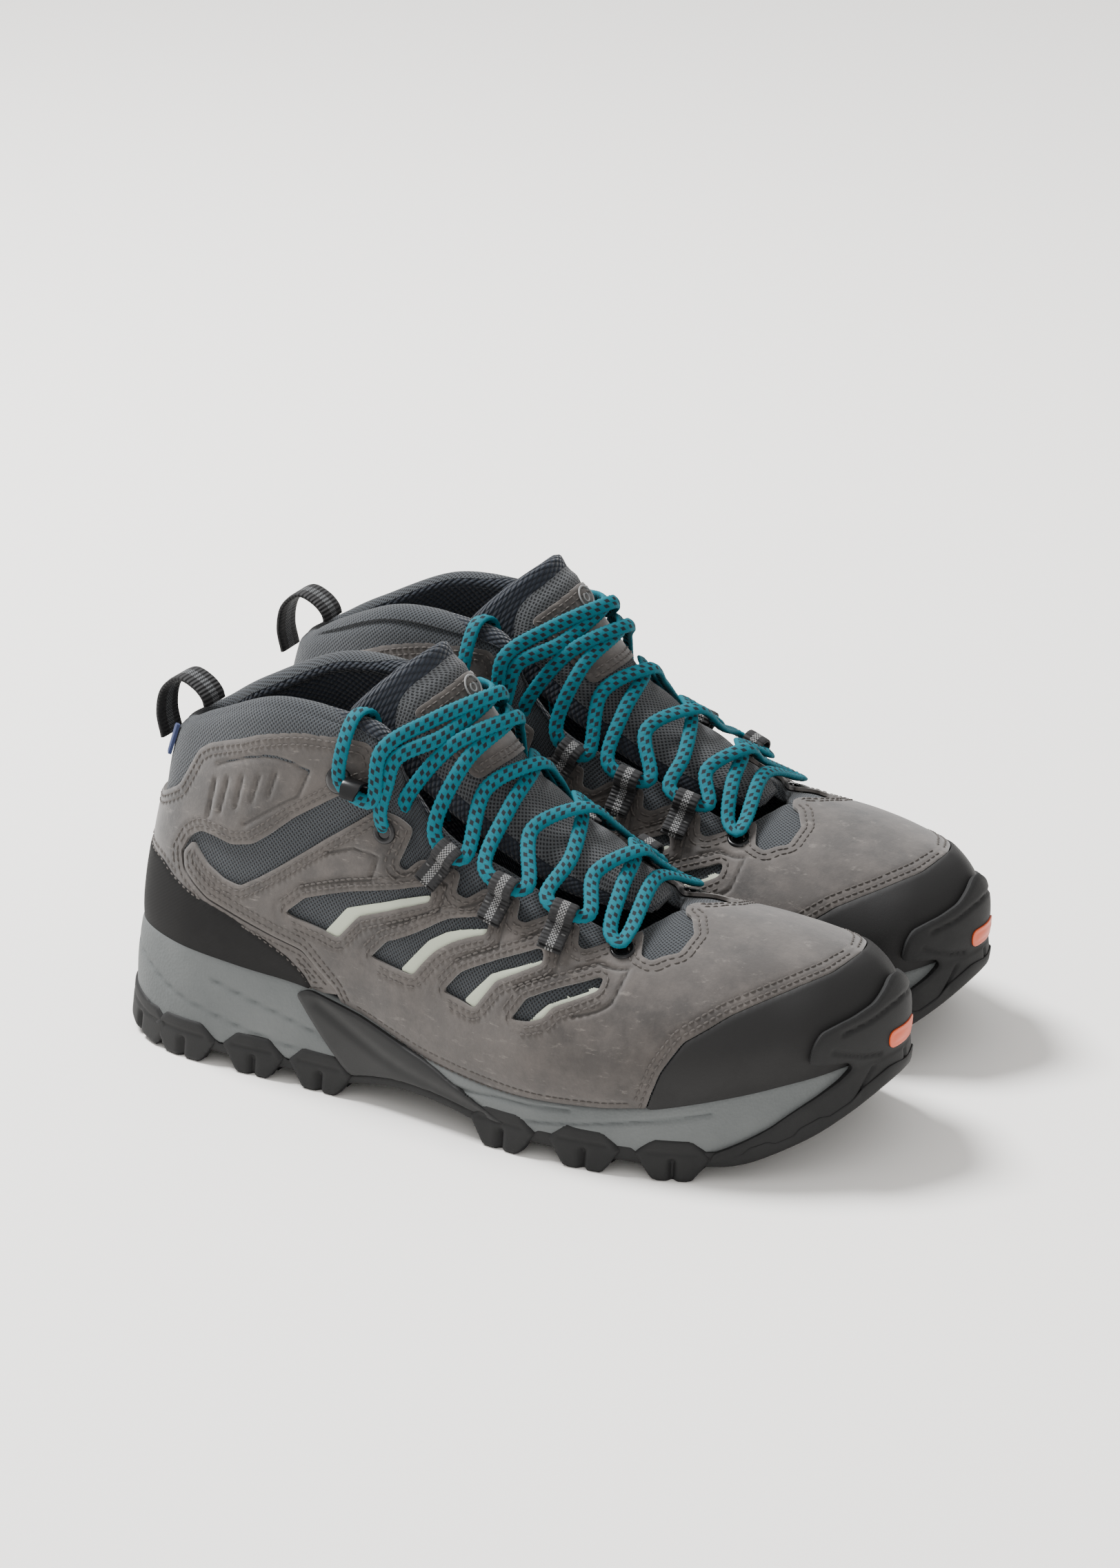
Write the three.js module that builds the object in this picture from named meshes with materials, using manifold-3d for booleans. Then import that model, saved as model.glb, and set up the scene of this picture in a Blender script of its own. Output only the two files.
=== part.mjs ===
// A pair of mid-height hiking boots, each built up from sole, upper, tongue, lacing and trim.
// Millimetres, +Z up, toes along +X. The right boot stands on the -Y side, the left boot on +Y.
//
// One boot is drawn in its own coordinates: x from the heel, w outwards from the boot's centre
// line and z up. RIBS is the skin of the textile upper on one side; the other side mirrors it
// about the curved centre line, which makes a right or a left foot of it.
import * as THREE from 'three';
import { mergeVertices } from 'three/addons/utils/BufferGeometryUtils.js';
import Module from 'manifold-3d';

// Driving dimensions of one boot
const BOOT_LENGTH = 306;
const BALL_WIDTH = 110;
const BOOT_HEIGHT = 168;
const PAIR_OVERLAP = 7;
const PAIR_SPACING = BALL_WIDTH - PAIR_OVERLAP;
const PAIR_STAGGER = -9;
const PAIR_TOE_OUT = 2.25;

// Walls and gaps
const FIT = 0.6;
const MESH_WALL = 1.2;
const LINING_WALL = 1.2;
const STIFFENER = 1.2;
const COLLAR_PAD = 5;
const LEATHER = 1.6;
const RAND = 2.1;
const RIM = 2.2;
const TONGUE_WALL = 6;
const BOARD = 2;
const FOOTBED = 5;
const SHANK_PLATE = 1.6;
const WRAP = 2.2;
const TREAD = 4;
const LUG_TAPER = 1.5;

// Lace, hardware and webbing
const LACE_DIAMETER = 4;
const LACE_SIDES = 8;
const HOOK_WIDTH = 9;
const WEBBING = 1.2;
const LOOP_WIDTH = 9;
const PULL_WIDTH = 14;
const PULL_WALL = 1.8;

// Ribs of the skin, heel back (0) to toe tip (16), each from the sole edge to the top line:
// collar up to rib 5, throat edge up to rib 12, then the ridge over the toes.
const RIBS = [
  [[4, 0, 28], [4.5, 0, 46], [6, 0, 60], [8, 0, 74], [10.5, 0, 88], [13.5, 0, 103], [17, 0, 119]],
  [[10, 18, 28], [9.5, 20.5, 46], [11, 21, 60], [13.5, 20.5, 74], [16, 19, 88], [19.5, 17.5, 104],
    [24, 14, 122]],
  [[31, 29.5, 27], [31, 33, 44.5], [32, 33.5, 57], [34, 32, 73], [36, 29, 90], [38, 26.5, 110],
    [39, 21, 129]],
  [[59, 32.5, 25], [59, 36, 42], [60, 37, 55], [62, 36, 73], [64, 34, 93], [66, 32.5, 118], [67, 28.5, 140]],
  [[87, 32.5, 25.5], [87, 36, 40], [89, 38, 53], [92, 37.5, 72], [94, 35, 93], [95, 33.5, 116],
    [95, 30.5, 140]],
  [[111, 33, 23.5], [111, 37, 35], [113, 39.5, 50], [116, 38.5, 69], [119, 36, 88], [119, 33.5, 111],
    [117, 29.5, 135]],
  [[127, 34.5, 21.5], [127, 39, 30], [129, 41.5, 44], [131, 40.5, 63], [133, 37, 81], [132, 33.5, 99],
    [127, 29, 118]],
  [[142, 36.5, 19], [142, 41.5, 25.5], [144, 43.5, 40], [146, 42, 59], [147, 38.5, 76], [146, 34.5, 89],
    [143, 29, 102]],
  [[165, 40.5, 16.3], [165, 45.5, 22.5], [166, 47.5, 37], [168, 45.5, 54], [169, 41.5, 69],
    [168, 36, 81], [167, 28, 93]],
  [[190, 44.5, 14.5], [190, 49.5, 22], [190, 51.5, 34], [190, 50, 49], [190, 45, 63], [190, 37.5, 75],
    [189, 26.5, 84]],
  [[212, 46.5, 14.5], [212, 51.5, 23.5], [212, 53, 34], [212, 51.5, 46], [212, 46.5, 59], [211, 37, 69],
    [208, 22.5, 76]],
  [[224, 46.5, 15.5], [224, 51.5, 25], [224, 53, 35.5], [223, 51.5, 47], [222, 45, 60], [220, 33, 71],
    [217, 13, 79]],
  [[236, 45.5, 17], [236, 50.5, 27], [236, 51.5, 37.5], [235, 49.5, 48.5], [233, 43, 61], [229, 27, 73],
    [222, 0, 80]],
  [[253, 41.5, 19.5], [253, 46, 31], [253, 47.5, 40.5], [252, 45.5, 50.5], [250, 39, 62], [246, 24, 73],
    [242, 0, 78.5]],
  [[270, 33.5, 22.5], [270, 38, 35], [270, 39.5, 44], [269, 38, 52.5], [267, 32, 62.5], [265, 19.5, 72],
    [262, 0, 76]],
  [[285, 22, 26], [286, 26, 39], [286, 27.5, 47.5], [285, 26.5, 55.5], [283, 22, 63.5], [281, 13, 70.5],
    [278, 0, 73.5]],
  [[294, 0, 29], [297.5, 0, 41], [298.5, 0, 49.5], [298, 0, 57], [295.5, 0, 64], [291, 0, 69.5],
    [286, 0, 72]],
];
const LAST_RIB = RIBS.length - 1;
const TOP_LEVEL = RIBS[0].length - 1;
const COLLAR_FRONT = 5;
const THROAT_BASE = 12;
const EDGE_LEVEL = 1;

// Tables of [x, value] that are read as smooth curves
const CENTRE_LINE = [[0, 0], [60, 0.5], [100, 3], [140, 5], [180, 5], [205, 2.5], [230, -0.5],
  [255, -3.5], [275, -6.5], [300, -9]];
const TREAD_BOTTOM = [[-3, 12], [12, 8], [26, 5], [105, 5], [118, 7.5], [132, 9.5], [150, 9], [170, 6],
  [185, 5], [250, 5], [266, 7], [282, 14], [294, 22], [304, 31]];
const FLARE = [[0, 6.5], [3, 5], [6, 3.5], [9, 3.5], [13, 4], [16, 4]];
const CENTRE_FADE = [60, 120];

// The ribs are drawn for these overall sizes
const SCALE_X = BOOT_LENGTH / 306;
const SCALE_W = BALL_WIDTH / 110;
const SOLE_HEIGHT = 40;
const UPPER_SCALE = (BOOT_HEIGHT - SOLE_HEIGHT) / (168 - SOLE_HEIGHT);
const scaledHeight = (z) => (z < SOLE_HEIGHT ? z : SOLE_HEIGHT + (z - SOLE_HEIGHT) * UPPER_SCALE);
const plainHeight = (z) => (z < SOLE_HEIGHT ? z : SOLE_HEIGHT + (z - SOLE_HEIGHT) / UPPER_SCALE);

// Smooth curves

function hermite(a, b, slopeA, slopeB, u) {
  const u2 = u * u;
  const u3 = u2 * u;
  return (2 * u3 - 3 * u2 + 1) * a + (u3 - 2 * u2 + u) * slopeA + (3 * u2 - 2 * u3) * b + (u3 - u2) * slopeB;
}

function smoothTable(table, x) {
  const last = table.length - 1;
  const at = THREE.MathUtils.clamp(x, table[0][0], table[last][0]);
  let i = 0;
  while (i < last - 1 && at > table[i + 1][0]) i += 1;
  const slope = (k) => {
    const before = table[Math.max(k - 1, 0)];
    const after = table[Math.min(k + 1, last)];
    return (after[1] - before[1]) / (after[0] - before[0]);
  };
  const span = table[i + 1][0] - table[i][0];
  const u = (at - table[i][0]) / span;
  return hermite(table[i][1], table[i + 1][1], slope(i) * span, slope(i + 1) * span, u);
}

function catmull(p0, p1, p2, p3, u) {
  return p1.map((value, k) => hermite(value, p2[k], (p2[k] - p0[k]) / 2, (p3[k] - value) / 2, u));
}

const mirrored = (p) => [p[0], -p[1], p[2]];
const beyond = (edge, inner) => edge.map((value, k) => 2 * value - inner[k]);
const mix = (a, b, u) => a.map((value, k) => value + (b[k] - value) * u);

// The skin of one side

function levelPoint(level, s) {
  const i = Math.min(Math.floor(s), LAST_RIB - 1);
  const before = i > 0 ? RIBS[i - 1][level] : mirrored(RIBS[1][level]);
  const after = i + 2 <= LAST_RIB ? RIBS[i + 2][level] : mirrored(RIBS[LAST_RIB - 1][level]);
  const p = catmull(before, RIBS[i][level], RIBS[i + 1][level], after, s - i);
  p[1] = Math.max(p[1], 0);
  return p;
}

function halfPoint(s, t) {
  if (s < 0) return mirrored(halfPoint(-s, t));
  if (s > LAST_RIB) return mirrored(halfPoint(2 * LAST_RIB - s, t));
  const j = THREE.MathUtils.clamp(Math.floor(t), 0, TOP_LEVEL - 1);
  const low = levelPoint(j, s);
  const high = levelPoint(j + 1, s);
  const below = j > 0 ? levelPoint(j - 1, s) : beyond(low, high);
  const closed = THREE.MathUtils.clamp(s - (THROAT_BASE - 1), 0, 1);
  const above = j + 2 <= TOP_LEVEL ? levelPoint(j + 2, s) : mix(beyond(high, low), mirrored(low), closed);
  const p = catmull(below, low, high, above, t - j);
  return [p[0] * SCALE_X, p[1] * SCALE_W, scaledHeight(p[2])];
}

function halfNormal(s, t) {
  const step = 0.02;
  const tLow = Math.max(t - step, 0);
  const tHigh = Math.min(t + step, TOP_LEVEL);
  const along = new THREE.Vector3(...halfPoint(s + step, t)).sub(new THREE.Vector3(...halfPoint(s - step,
    t)));
  const up = new THREE.Vector3(...halfPoint(s, tHigh)).sub(new THREE.Vector3(...halfPoint(s, tLow)));
  const normal = up.cross(along);
  if (Math.abs(halfPoint(s, t)[1]) < 1e-6) normal.y = 0;
  return normal.normalize();
}

function centreShift(x, z) {
  const fade = 1 - THREE.MathUtils.smoothstep(plainHeight(z), ...CENTRE_FADE);
  return smoothTable(CENTRE_LINE, x / SCALE_X) * SCALE_W * fade;
}

// side is +1 on the outer side of the foot and -1 on the inner side; q grows outwards
function placed(side, p, from = p) {
  return new THREE.Vector3(p[0], side * p[1] + centreShift(from[0], from[2]), p[2]);
}

function skin(side, s, t, offset) {
  const p = halfPoint(s, t);
  const n = halfNormal(s, t);
  const q = [p[0] + n.x * offset, p[1] + n.y * offset, p[2] + n.z * offset];
  if (Math.abs(p[1]) < 1e-6) q[1] = 0;
  return placed(side, q, p);
}

// A point beside the sole edge: offset level in plan from the skin, at height z or z(x)
function soleEdge(side, s, level, offset, height) {
  const p = halfPoint(s, level);
  const n = halfNormal(s, level);
  const flat = Math.hypot(n.x, n.y);
  const q = [p[0] + (n.x / flat) * offset, p[1] + (n.y / flat) * offset, 0];
  if (Math.abs(p[1]) < 1e-6) q[1] = 0;
  q[2] = height(q[0], p[2]);
  return placed(side, q, [q[0], 0, 0]);
}

// Solids from quads

function solid(quads) {
  const flat = [];
  quads.forEach(([a, b, c, d]) => flat.push(a, b, c, a, c, d));
  const positions = new Float32Array(flat.flatMap((p) => [p.x, p.y, p.z]));
  const raw = new THREE.BufferGeometry();
  raw.setAttribute('position', new THREE.BufferAttribute(positions, 3));
  return outward(mergeVertices(raw, 1e-3));
}

function outward(geometry) {
  const at = geometry.attributes.position;
  const index = geometry.index.array;
  const kept = [];
  let volume = 0;
  const [a, b, c] = [0, 1, 2].map(() => new THREE.Vector3());
  for (let i = 0; i < index.length; i += 3) {
    const [ia, ib, ic] = [index[i], index[i + 1], index[i + 2]];
    if (ia === ib || ib === ic || ia === ic) continue;
    kept.push(ia, ib, ic);
    a.fromBufferAttribute(at, ia);
    b.fromBufferAttribute(at, ib);
    c.fromBufferAttribute(at, ic);
    volume += a.dot(b.cross(c));
  }
  if (volume < 0) kept.reverse();
  geometry.setIndex(kept);
  return geometry;
}

// The other way round, split along the same diagonal
const turned = ([a, b, c, d]) => [a, d, c, b];

// A closed wall between two grids of points, outer[i][j] and inner[i][j]
function shell(outer, inner, loop = false) {
  const quads = [];
  const rows = outer.length;
  const columns = outer[0].length;
  const stepsI = loop ? rows : rows - 1;
  for (let i = 0; i < stepsI; i += 1) {
    const next = (i + 1) % rows;
    for (let j = 0; j < columns - 1; j += 1) {
      quads.push([outer[i][j], outer[next][j], outer[next][j + 1], outer[i][j + 1]]);
      quads.push([inner[i][j], inner[i][j + 1], inner[next][j + 1], inner[next][j]]);
    }
    quads.push([outer[next][0], outer[i][0], inner[i][0], inner[next][0]]);
    const top = columns - 1;
    quads.push([outer[i][top], outer[next][top], inner[next][top], inner[i][top]]);
  }
  if (!loop) {
    for (let j = 0; j < columns - 1; j += 1) {
      quads.push([outer[0][j], outer[0][j + 1], inner[0][j + 1], inner[0][j]]);
      const end = rows - 1;
      quads.push([outer[end][j + 1], outer[end][j], inner[end][j], inner[end][j + 1]]);
    }
  }
  return solid(quads);
}

const range = (from, to, steps) => Array.from({ length: steps + 1 }, (_,
  i) => from + ((to - from) * i) / steps);

// Every layer is sampled at the same stations, close together round the heel and the toe
const STATIONS = [0, 0.6, 1.2, 1.8, 2.4, 3.2, 4, 5, 6, 7, 8, 9, 10, 11, 12, 13, 13.8, 14.4, 14.9, 15.3,
  15.7, 16];

function stationsBetween(from, to) {
  return [from, ...STATIONS.filter((s) => s > from + 0.1 && s < to - 0.1), to];
}

// A patch of the skin that runs round the heel or the toe: stations are [side, s] pairs
function heelStations(to) {
  const half = stationsBetween(0, to);
  return [...half.slice(1).reverse().map((s) => [-1, s]), ...half.map((s) => [1, s])];
}

function toeStations(from) {
  const half = stationsBetween(from, LAST_RIB);
  return [...half.map((s) => [1, s]), ...half.slice(0, -1).reverse().map((s) => [-1, s])];
}

function patch(stations, levels, offsetIn, offsetOut) {
  const grid = (offset) => stations.map(([side, s]) => levels(s, side).map((t) => skin(side, s, t,
    offset(s, t))));
  return shell(grid(offsetOut), grid(offsetIn));
}

const flatOffset = (value) => () => value;

// A ring runs from the heel along the outer side to the toe and back along the inner side
function ring(point) {
  return { outer: STATIONS.map((s) => point(1, s)), inner: STATIONS.map((s) => point(-1, s)) };
}

function bridge(quads, below, above) {
  for (let i = 0; i + 1 < STATIONS.length; i += 1) {
    quads.push([below.outer[i], below.outer[i + 1], above.outer[i + 1], above.outer[i]]);
    quads.push([below.inner[i + 1], below.inner[i], above.inner[i], above.inner[i + 1]]);
  }
}

function cap(quads, edge, down) {
  for (let i = 0; i + 1 < STATIONS.length; i += 1) {
    const quad = [edge.outer[i], edge.outer[i + 1], edge.inner[i + 1], edge.inner[i]];
    quads.push(down ? turned(quad) : quad);
  }
}

// Rings stacked from the bottom cap to the top cap; a wall may come back down inside
function loft(rings) {
  const quads = [];
  cap(quads, rings[0], true);
  for (let i = 0; i + 1 < rings.length; i += 1) bridge(quads, rings[i], rings[i + 1]);
  cap(quads, rings[rings.length - 1], false);
  return solid(quads);
}

// Booleans

const wasm = await Module();
wasm.setup();

function toManifold(geometry) {
  const welded = mergeVertices(new THREE.BufferGeometry()
    .setAttribute('position', geometry.attributes.position)
    .setIndex(geometry.index), 1e-3);
  const mesh = new wasm.Mesh({
    numProp: 3,
    vertProperties: new Float32Array(welded.attributes.position.array),
    triVerts: new Uint32Array(welded.index.array),
  });
  return new wasm.Manifold(mesh);
}

function fromManifold(manifold) {
  const mesh = manifold.getMesh();
  const geometry = new THREE.BufferGeometry();
  geometry.setAttribute('position', new THREE.BufferAttribute(new Float32Array(mesh.vertProperties), 3));
  geometry.setIndex(Array.from(mesh.triVerts));
  return geometry;
}

function joined(parts) {
  const [first, ...rest] = parts.map(toManifold);
  return fromManifold(rest.reduce((sum, part) => sum.add(part), first));
}

function cut(geometry, tool) {
  return fromManifold(toManifold(geometry).subtract(toManifold(tool)));
}

function indexed(geometry) {
  geometry.deleteAttribute('normal');
  geometry.deleteAttribute('uv');
  return outward(mergeVertices(geometry, 1e-3));
}

// Sole

const treadBottom = (x) => smoothTable(TREAD_BOTTOM, x / SCALE_X);
const treadTop = (x) => treadBottom(x) + TREAD;
const flare = (s) => smoothTable(FLARE, s);
const TOE_WRAP_START = 13.6;
const toeWrap = (s) => (WRAP + FIT) * THREE.MathUtils.smoothstep(s, TOE_WRAP_START - 1, TOE_WRAP_START);

function treadPlate() {
  const edge = (height, inset) => ring((side, s) => soleEdge(side, s, EDGE_LEVEL,
    flare(s) + toeWrap(s) - inset, height));
  return loft([edge(treadBottom, 1), edge(treadTop, 0)]);
}

// Lugs as [x, length, w from, w to] on each side and across the middle
const SIDE_LUGS = [[24, 20, 14, 30], [57, 17, 22, 39.5], [86, 18, 22, 38.5], [168, 18, 27, 44.5],
  [201, 18, 32, 52], [234, 16, 30, 50]];
const CENTRE_LUGS = [[46, 12, 14], [74, 12, 14], [150, 12, 16], [186, 13, 20], [218, 13, 22], [252, 12, 18]];
const LUG_ROOT = 1.5;

function lugBlock(x, length, low, high) {
  const root = treadBottom(x + length / 2) + LUG_ROOT;
  const corners = (z, spread) => [[x - spread, low - spread], [x + length + spread, low - spread],
    [x + length + spread, high + spread], [x - spread, high + spread]]
    .map(([px, pw]) => new THREE.Vector3(px, pw, z));
  const foot = corners(0, -LUG_TAPER / 2);
  const top = corners(root, LUG_TAPER / 2);
  const quads = [[...foot].reverse(), top];
  for (let i = 0; i < 4; i += 1) {
    const j = (i + 1) % 4;
    quads.push([foot[i], foot[j], top[j], top[i]]);
  }
  return solid(quads);
}

function outsole() {
  const parts = [treadPlate(), toeGuard()];
  SIDE_LUGS.forEach(([x, length, low, high]) => {
    const shift = centreShift((x + length / 2) * SCALE_X, 0);
    [1, -1].forEach((side) => {
      const edges = [side * low * SCALE_W + shift, side * high * SCALE_W + shift].sort((a, b) => a - b);
      parts.push(lugBlock(x * SCALE_X, length * SCALE_X, ...edges));
    });
  });
  CENTRE_LUGS.forEach(([x, length, reach]) => {
    const shift = centreShift((x + length / 2) * SCALE_X, 0);
    parts.push(lugBlock(x * SCALE_X, length * SCALE_X, shift - reach * SCALE_W, shift + reach * SCALE_W));
  });
  return joined(parts);
}

// The tread runs up over the front of the toe as a bumper
const GUARD_TOP = 2.2;
const GUARD_WALL = 2;
const GUARD_STAND = 0.6;
const GUARD_OVERLAP = 1;

function toeGuard() {
  const stations = toeStations(TOE_WRAP_START);
  const rows = (offset) => stations.map(([side, s]) => [
    soleEdge(side, s, EDGE_LEVEL, flare(s) + FIT + offset, (x) => treadTop(x) - GUARD_OVERLAP),
    soleEdge(side, s, EDGE_LEVEL, flare(s) + FIT + offset, (x, z) => z),
    skin(side, s, GUARD_TOP, FIT + RAND + FIT + offset + GUARD_STAND),
  ]);
  return shell(rows(GUARD_WALL), rows(0));
}

function midsoleBody() {
  const rimHeight = (x, z) => z;
  const outerBottom = ring((side, s) => soleEdge(side, s, EDGE_LEVEL, flare(s), (x) => treadTop(x) + FIT));
  const outerRim = ring((side, s) => soleEdge(side, s, EDGE_LEVEL, FIT + RIM, rimHeight));
  const innerRim = ring((side, s) => skin(side, s, EDGE_LEVEL, FIT));
  const innerWall = ring((side, s) => skin(side, s, EDGE_LEVEL / 2, FIT));
  const floor = ring((side, s) => soleEdge(side, s, 0, FIT, (x, z) => z - FIT));
  return loft([outerBottom, outerRim, innerRim, innerWall, floor]);
}

const grownEnds = (list, grow) => list.map((value, i) => (
  value + (i === 0 ? -grow : 0) + (i === list.length - 1 ? grow : 0)));

// The arch shank is a stiff saddle: wings up both sides of the waist and a plate below
const SHANK_RIBS = [4, 7.2];
const SHANK_SOLE = 1.2;
const SHANK_PROUD = 0.8;
const shankTop = (s) => Math.max(0.97 - 0.06 * (s - SHANK_RIBS[0]), 0.7);

function archShank(grow) {
  const stations = grownEnds(range(...SHANK_RIBS, 8), grow / 20);
  const line = (side, s, offset) => {
    const height = (u) => (x, z) => THREE.MathUtils.lerp(treadTop(x) + FIT, z,
      u * shankTop(s)) + (2 * u - 1) * grow;
    const push = (u) => THREE.MathUtils.lerp(flare(s), FIT + RIM, u * shankTop(s)) + offset;
    return [1, 0.5, 0].map((u) => soleEdge(side, s, EDGE_LEVEL, push(u), height(u)));
  };
  const outer = stations.map((s) => [...line(1, s, SHANK_PROUD + grow), ...line(-1, s,
    SHANK_PROUD + grow).reverse()]);
  const lift = (p) => p.clone().add(new THREE.Vector3(0, 0, SHANK_SOLE + 2 * grow));
  const inner = stations.map((s) => {
    const out = line(1, s, SHANK_PROUD - WRAP - grow);
    const back = line(-1, s, SHANK_PROUD - WRAP - grow).reverse();
    return [...out.slice(0, 2), lift(out[2]), lift(back[0]), ...back.slice(1)];
  });
  return shell(outer, inner);
}

// The shank plate stiffens the waist from inside, let into the midsole's floor
const PLATE_FROM = 62;
const PLATE_TO = 188;
const PLATE_HALF = 13;

function floorHeight(x) {
  let s = 1;
  while (s < LAST_RIB - 1 && halfPoint(s, 0)[0] < x) s += 0.25;
  return halfPoint(s, 0)[2];
}

function shankPlate(grow) {
  const stations = range(PLATE_FROM * SCALE_X, PLATE_TO * SCALE_X, 10);
  const ends = grownEnds(stations, grow);
  const half = PLATE_HALF * SCALE_W + grow;
  const rows = (rise) => stations.map((x, i) => [-half, half]
    .map((w) => new THREE.Vector3(ends[i], w + centreShift(x, 0), floorHeight(x) - 2 * FIT + rise)));
  return shell(rows(2 * grow), rows(-SHANK_PLATE - grow));
}

const RECESS = 0.35;

function midsole() {
  return cut(cut(midsoleBody(), archShank(RECESS)), shankPlate(RECESS));
}

const INNER_WALLS = MESH_WALL + FIT + STIFFENER + FIT + LINING_WALL + FIT;

function lastingBoard() {
  const edge = (rise) => ring((side, s) => soleEdge(side, s, 0, -INNER_WALLS, (x, z) => z + rise));
  return loft([edge(0), edge(BOARD)]);
}

function footbed() {
  const low = BOARD + FIT;
  const edge = (rise, extra) => ring((side, s) => soleEdge(side, s, 0, -INNER_WALLS - extra, (x,
    z) => z + rise));
  return loft([edge(low, 0.8), edge(low + FOOTBED, 0.3)]);
}

// Upper

// Two mirrored walls that meet wherever their points fall on the centre line: round the heel,
// round the toe and along the ridge over the toes. Everywhere else their edges are closed.
const RIDGE_GAP = 0.01;

function twinWalls(columns, rows, point, offsetIn, offsetOut) {
  const quads = [];
  const lastRow = rows.length - 1;
  const lastColumn = columns.length - 1;
  const grid = (side, offset) => columns.map((c) => rows.map((r) => point(side, c, r, offset)));
  const [outA, outB, inA, inB] = [[1, offsetOut], [-1, offsetOut], [1, offsetIn], [-1, offsetIn]]
    .map(([side, offset]) => grid(side, offset));
  const meets = (i, j) => outA[i][j].distanceTo(outB[i][j]) < RIDGE_GAP;
  const add = (quad, reverse) => quads.push(reverse ? turned(quad) : quad);
  [[outA, inA, false], [outB, inB, true]].forEach(([outer, inner, flip]) => {
    for (let i = 0; i < lastColumn; i += 1) {
      for (let j = 0; j < lastRow; j += 1) {
        add([outer[i][j], outer[i + 1][j], outer[i + 1][j + 1], outer[i][j + 1]], flip);
        add([inner[i][j], inner[i + 1][j], inner[i + 1][j + 1], inner[i][j + 1]], !flip);
      }
      add([outer[i][0], inner[i][0], inner[i + 1][0], outer[i + 1][0]], flip);
      if (meets(i, lastRow) && meets(i + 1, lastRow)) continue;
      add([outer[i][lastRow], inner[i][lastRow], inner[i + 1][lastRow], outer[i + 1][lastRow]], !flip);
    }
    [[0, false], [lastColumn, true]].forEach(([i, end]) => {
      for (let j = 0; j < lastRow; j += 1) {
        if (meets(i, j) && meets(i, j + 1)) continue;
        add([outer[i][j], outer[i][j + 1], inner[i][j + 1], inner[i][j]], flip !== end);
      }
    });
  });
  return solid(quads);
}

const LEVELS = [0, 1, 1.9, 2.8, 3.7, 4.6, 5.4, 6];

function wholeSkin(levels, offsetIn, offsetOut) {
  const point = (side, s, t, offset) => skin(side, s, t, offset(s, t));
  return twinWalls(STATIONS, levels, point, offsetIn, offsetOut);
}

// How deep the padding and stiffeners lie between the textile skin and the lining
function padDepth(s, t) {
  const high = THREE.MathUtils.smoothstep(t, 3.4, 4.6);
  const rear = 1 - THREE.MathUtils.smoothstep(s, COLLAR_FRONT - 1, COLLAR_FRONT + 0.6);
  return STIFFENER + (COLLAR_PAD - STIFFENER) * high * rear;
}

const under = (extra) => (s, t) => -MESH_WALL - FIT - extra(s, t);

function meshUpper() {
  return wholeSkin(LEVELS, flatOffset(-MESH_WALL), flatOffset(0));
}

function lining() {
  const outside = under((s, t) => padDepth(s, t) + FIT);
  const inside = under((s, t) => padDepth(s, t) + FIT + LINING_WALL);
  return wholeSkin(LEVELS, inside, outside);
}

function collarPadding() {
  const stations = heelStations(COLLAR_FRONT - 0.6);
  const levels = () => [4.6, 5.4, 5.85];
  const inside = (s, t) => -MESH_WALL - FIT - Math.max(padDepth(s, t) - 0.2, 1);
  return patch(stations, levels, inside, flatOffset(-MESH_WALL - FIT));
}

function heelCounter() {
  const stations = heelStations(3.6);
  const outside = -MESH_WALL - FIT;
  return patch(stations, () => range(0.2, 3.2, 4), flatOffset(outside - STIFFENER + 0.3),
    flatOffset(outside));
}

function toePuff() {
  const stations = toeStations(13.4);
  const outside = -MESH_WALL - FIT;
  return patch(stations, () => [0.3, ...LEVELS.slice(1, 6)], flatOffset(outside - STIFFENER + 0.3),
    flatOffset(outside));
}

const overlay = (thickness) => [flatOffset(FIT), flatOffset(FIT + thickness)];
const OVERLAY_FOOT = 1.25;

// Heel band: highest at the back, running down to the waist
const bandTop = (s) => 2.6 - 0.34 * s;

function heelBand() {
  return patch(heelStations(3.6), (s) => range(OVERLAY_FOOT, bandTop(s), 2), ...overlay(RAND));
}

// Ankle leather: round the heel above the band and forward into a panel on each side
const ANKLE_LOW = [[0, 2.75], [1.2, 2.65], [2.4, 3.55], [3.2, 3.95], [4, 4.6], [4.9, 5.2]];
const ankleHigh = (s) => 5 + 0.14 * s;

function ankleLeather() {
  return patch(heelStations(4.9), (s) => range(smoothTable(ANKLE_LOW, s), ankleHigh(s), 4),
    ...overlay(LEATHER));
}

// Lower leather: both quarters and the vamp in one piece. Its rear edge slants back and up from
// the waist, its top line climbs one level a rib to the throat, and its front meets the toe cap.
const REAR_FOOT = 3.75;
const REAR_SLANT = 0.68;
const QUARTER_HOLD = 5;
const rearEdge = (t) => REAR_FOOT - REAR_SLANT * (t - OVERLAY_FOOT);
const capEdge = (t) => 12.6 + 0.28 * t;
const OVERLAY_LEVELS = [OVERLAY_FOOT, ...LEVELS.slice(2)];

function quarterTop(s) {
  const i = Math.min(Math.floor(s), LEVELS.length - 1);
  return THREE.MathUtils.lerp(LEVELS[i], LEVELS[Math.min(i + 1, LEVELS.length - 1)], s - i);
}

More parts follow.
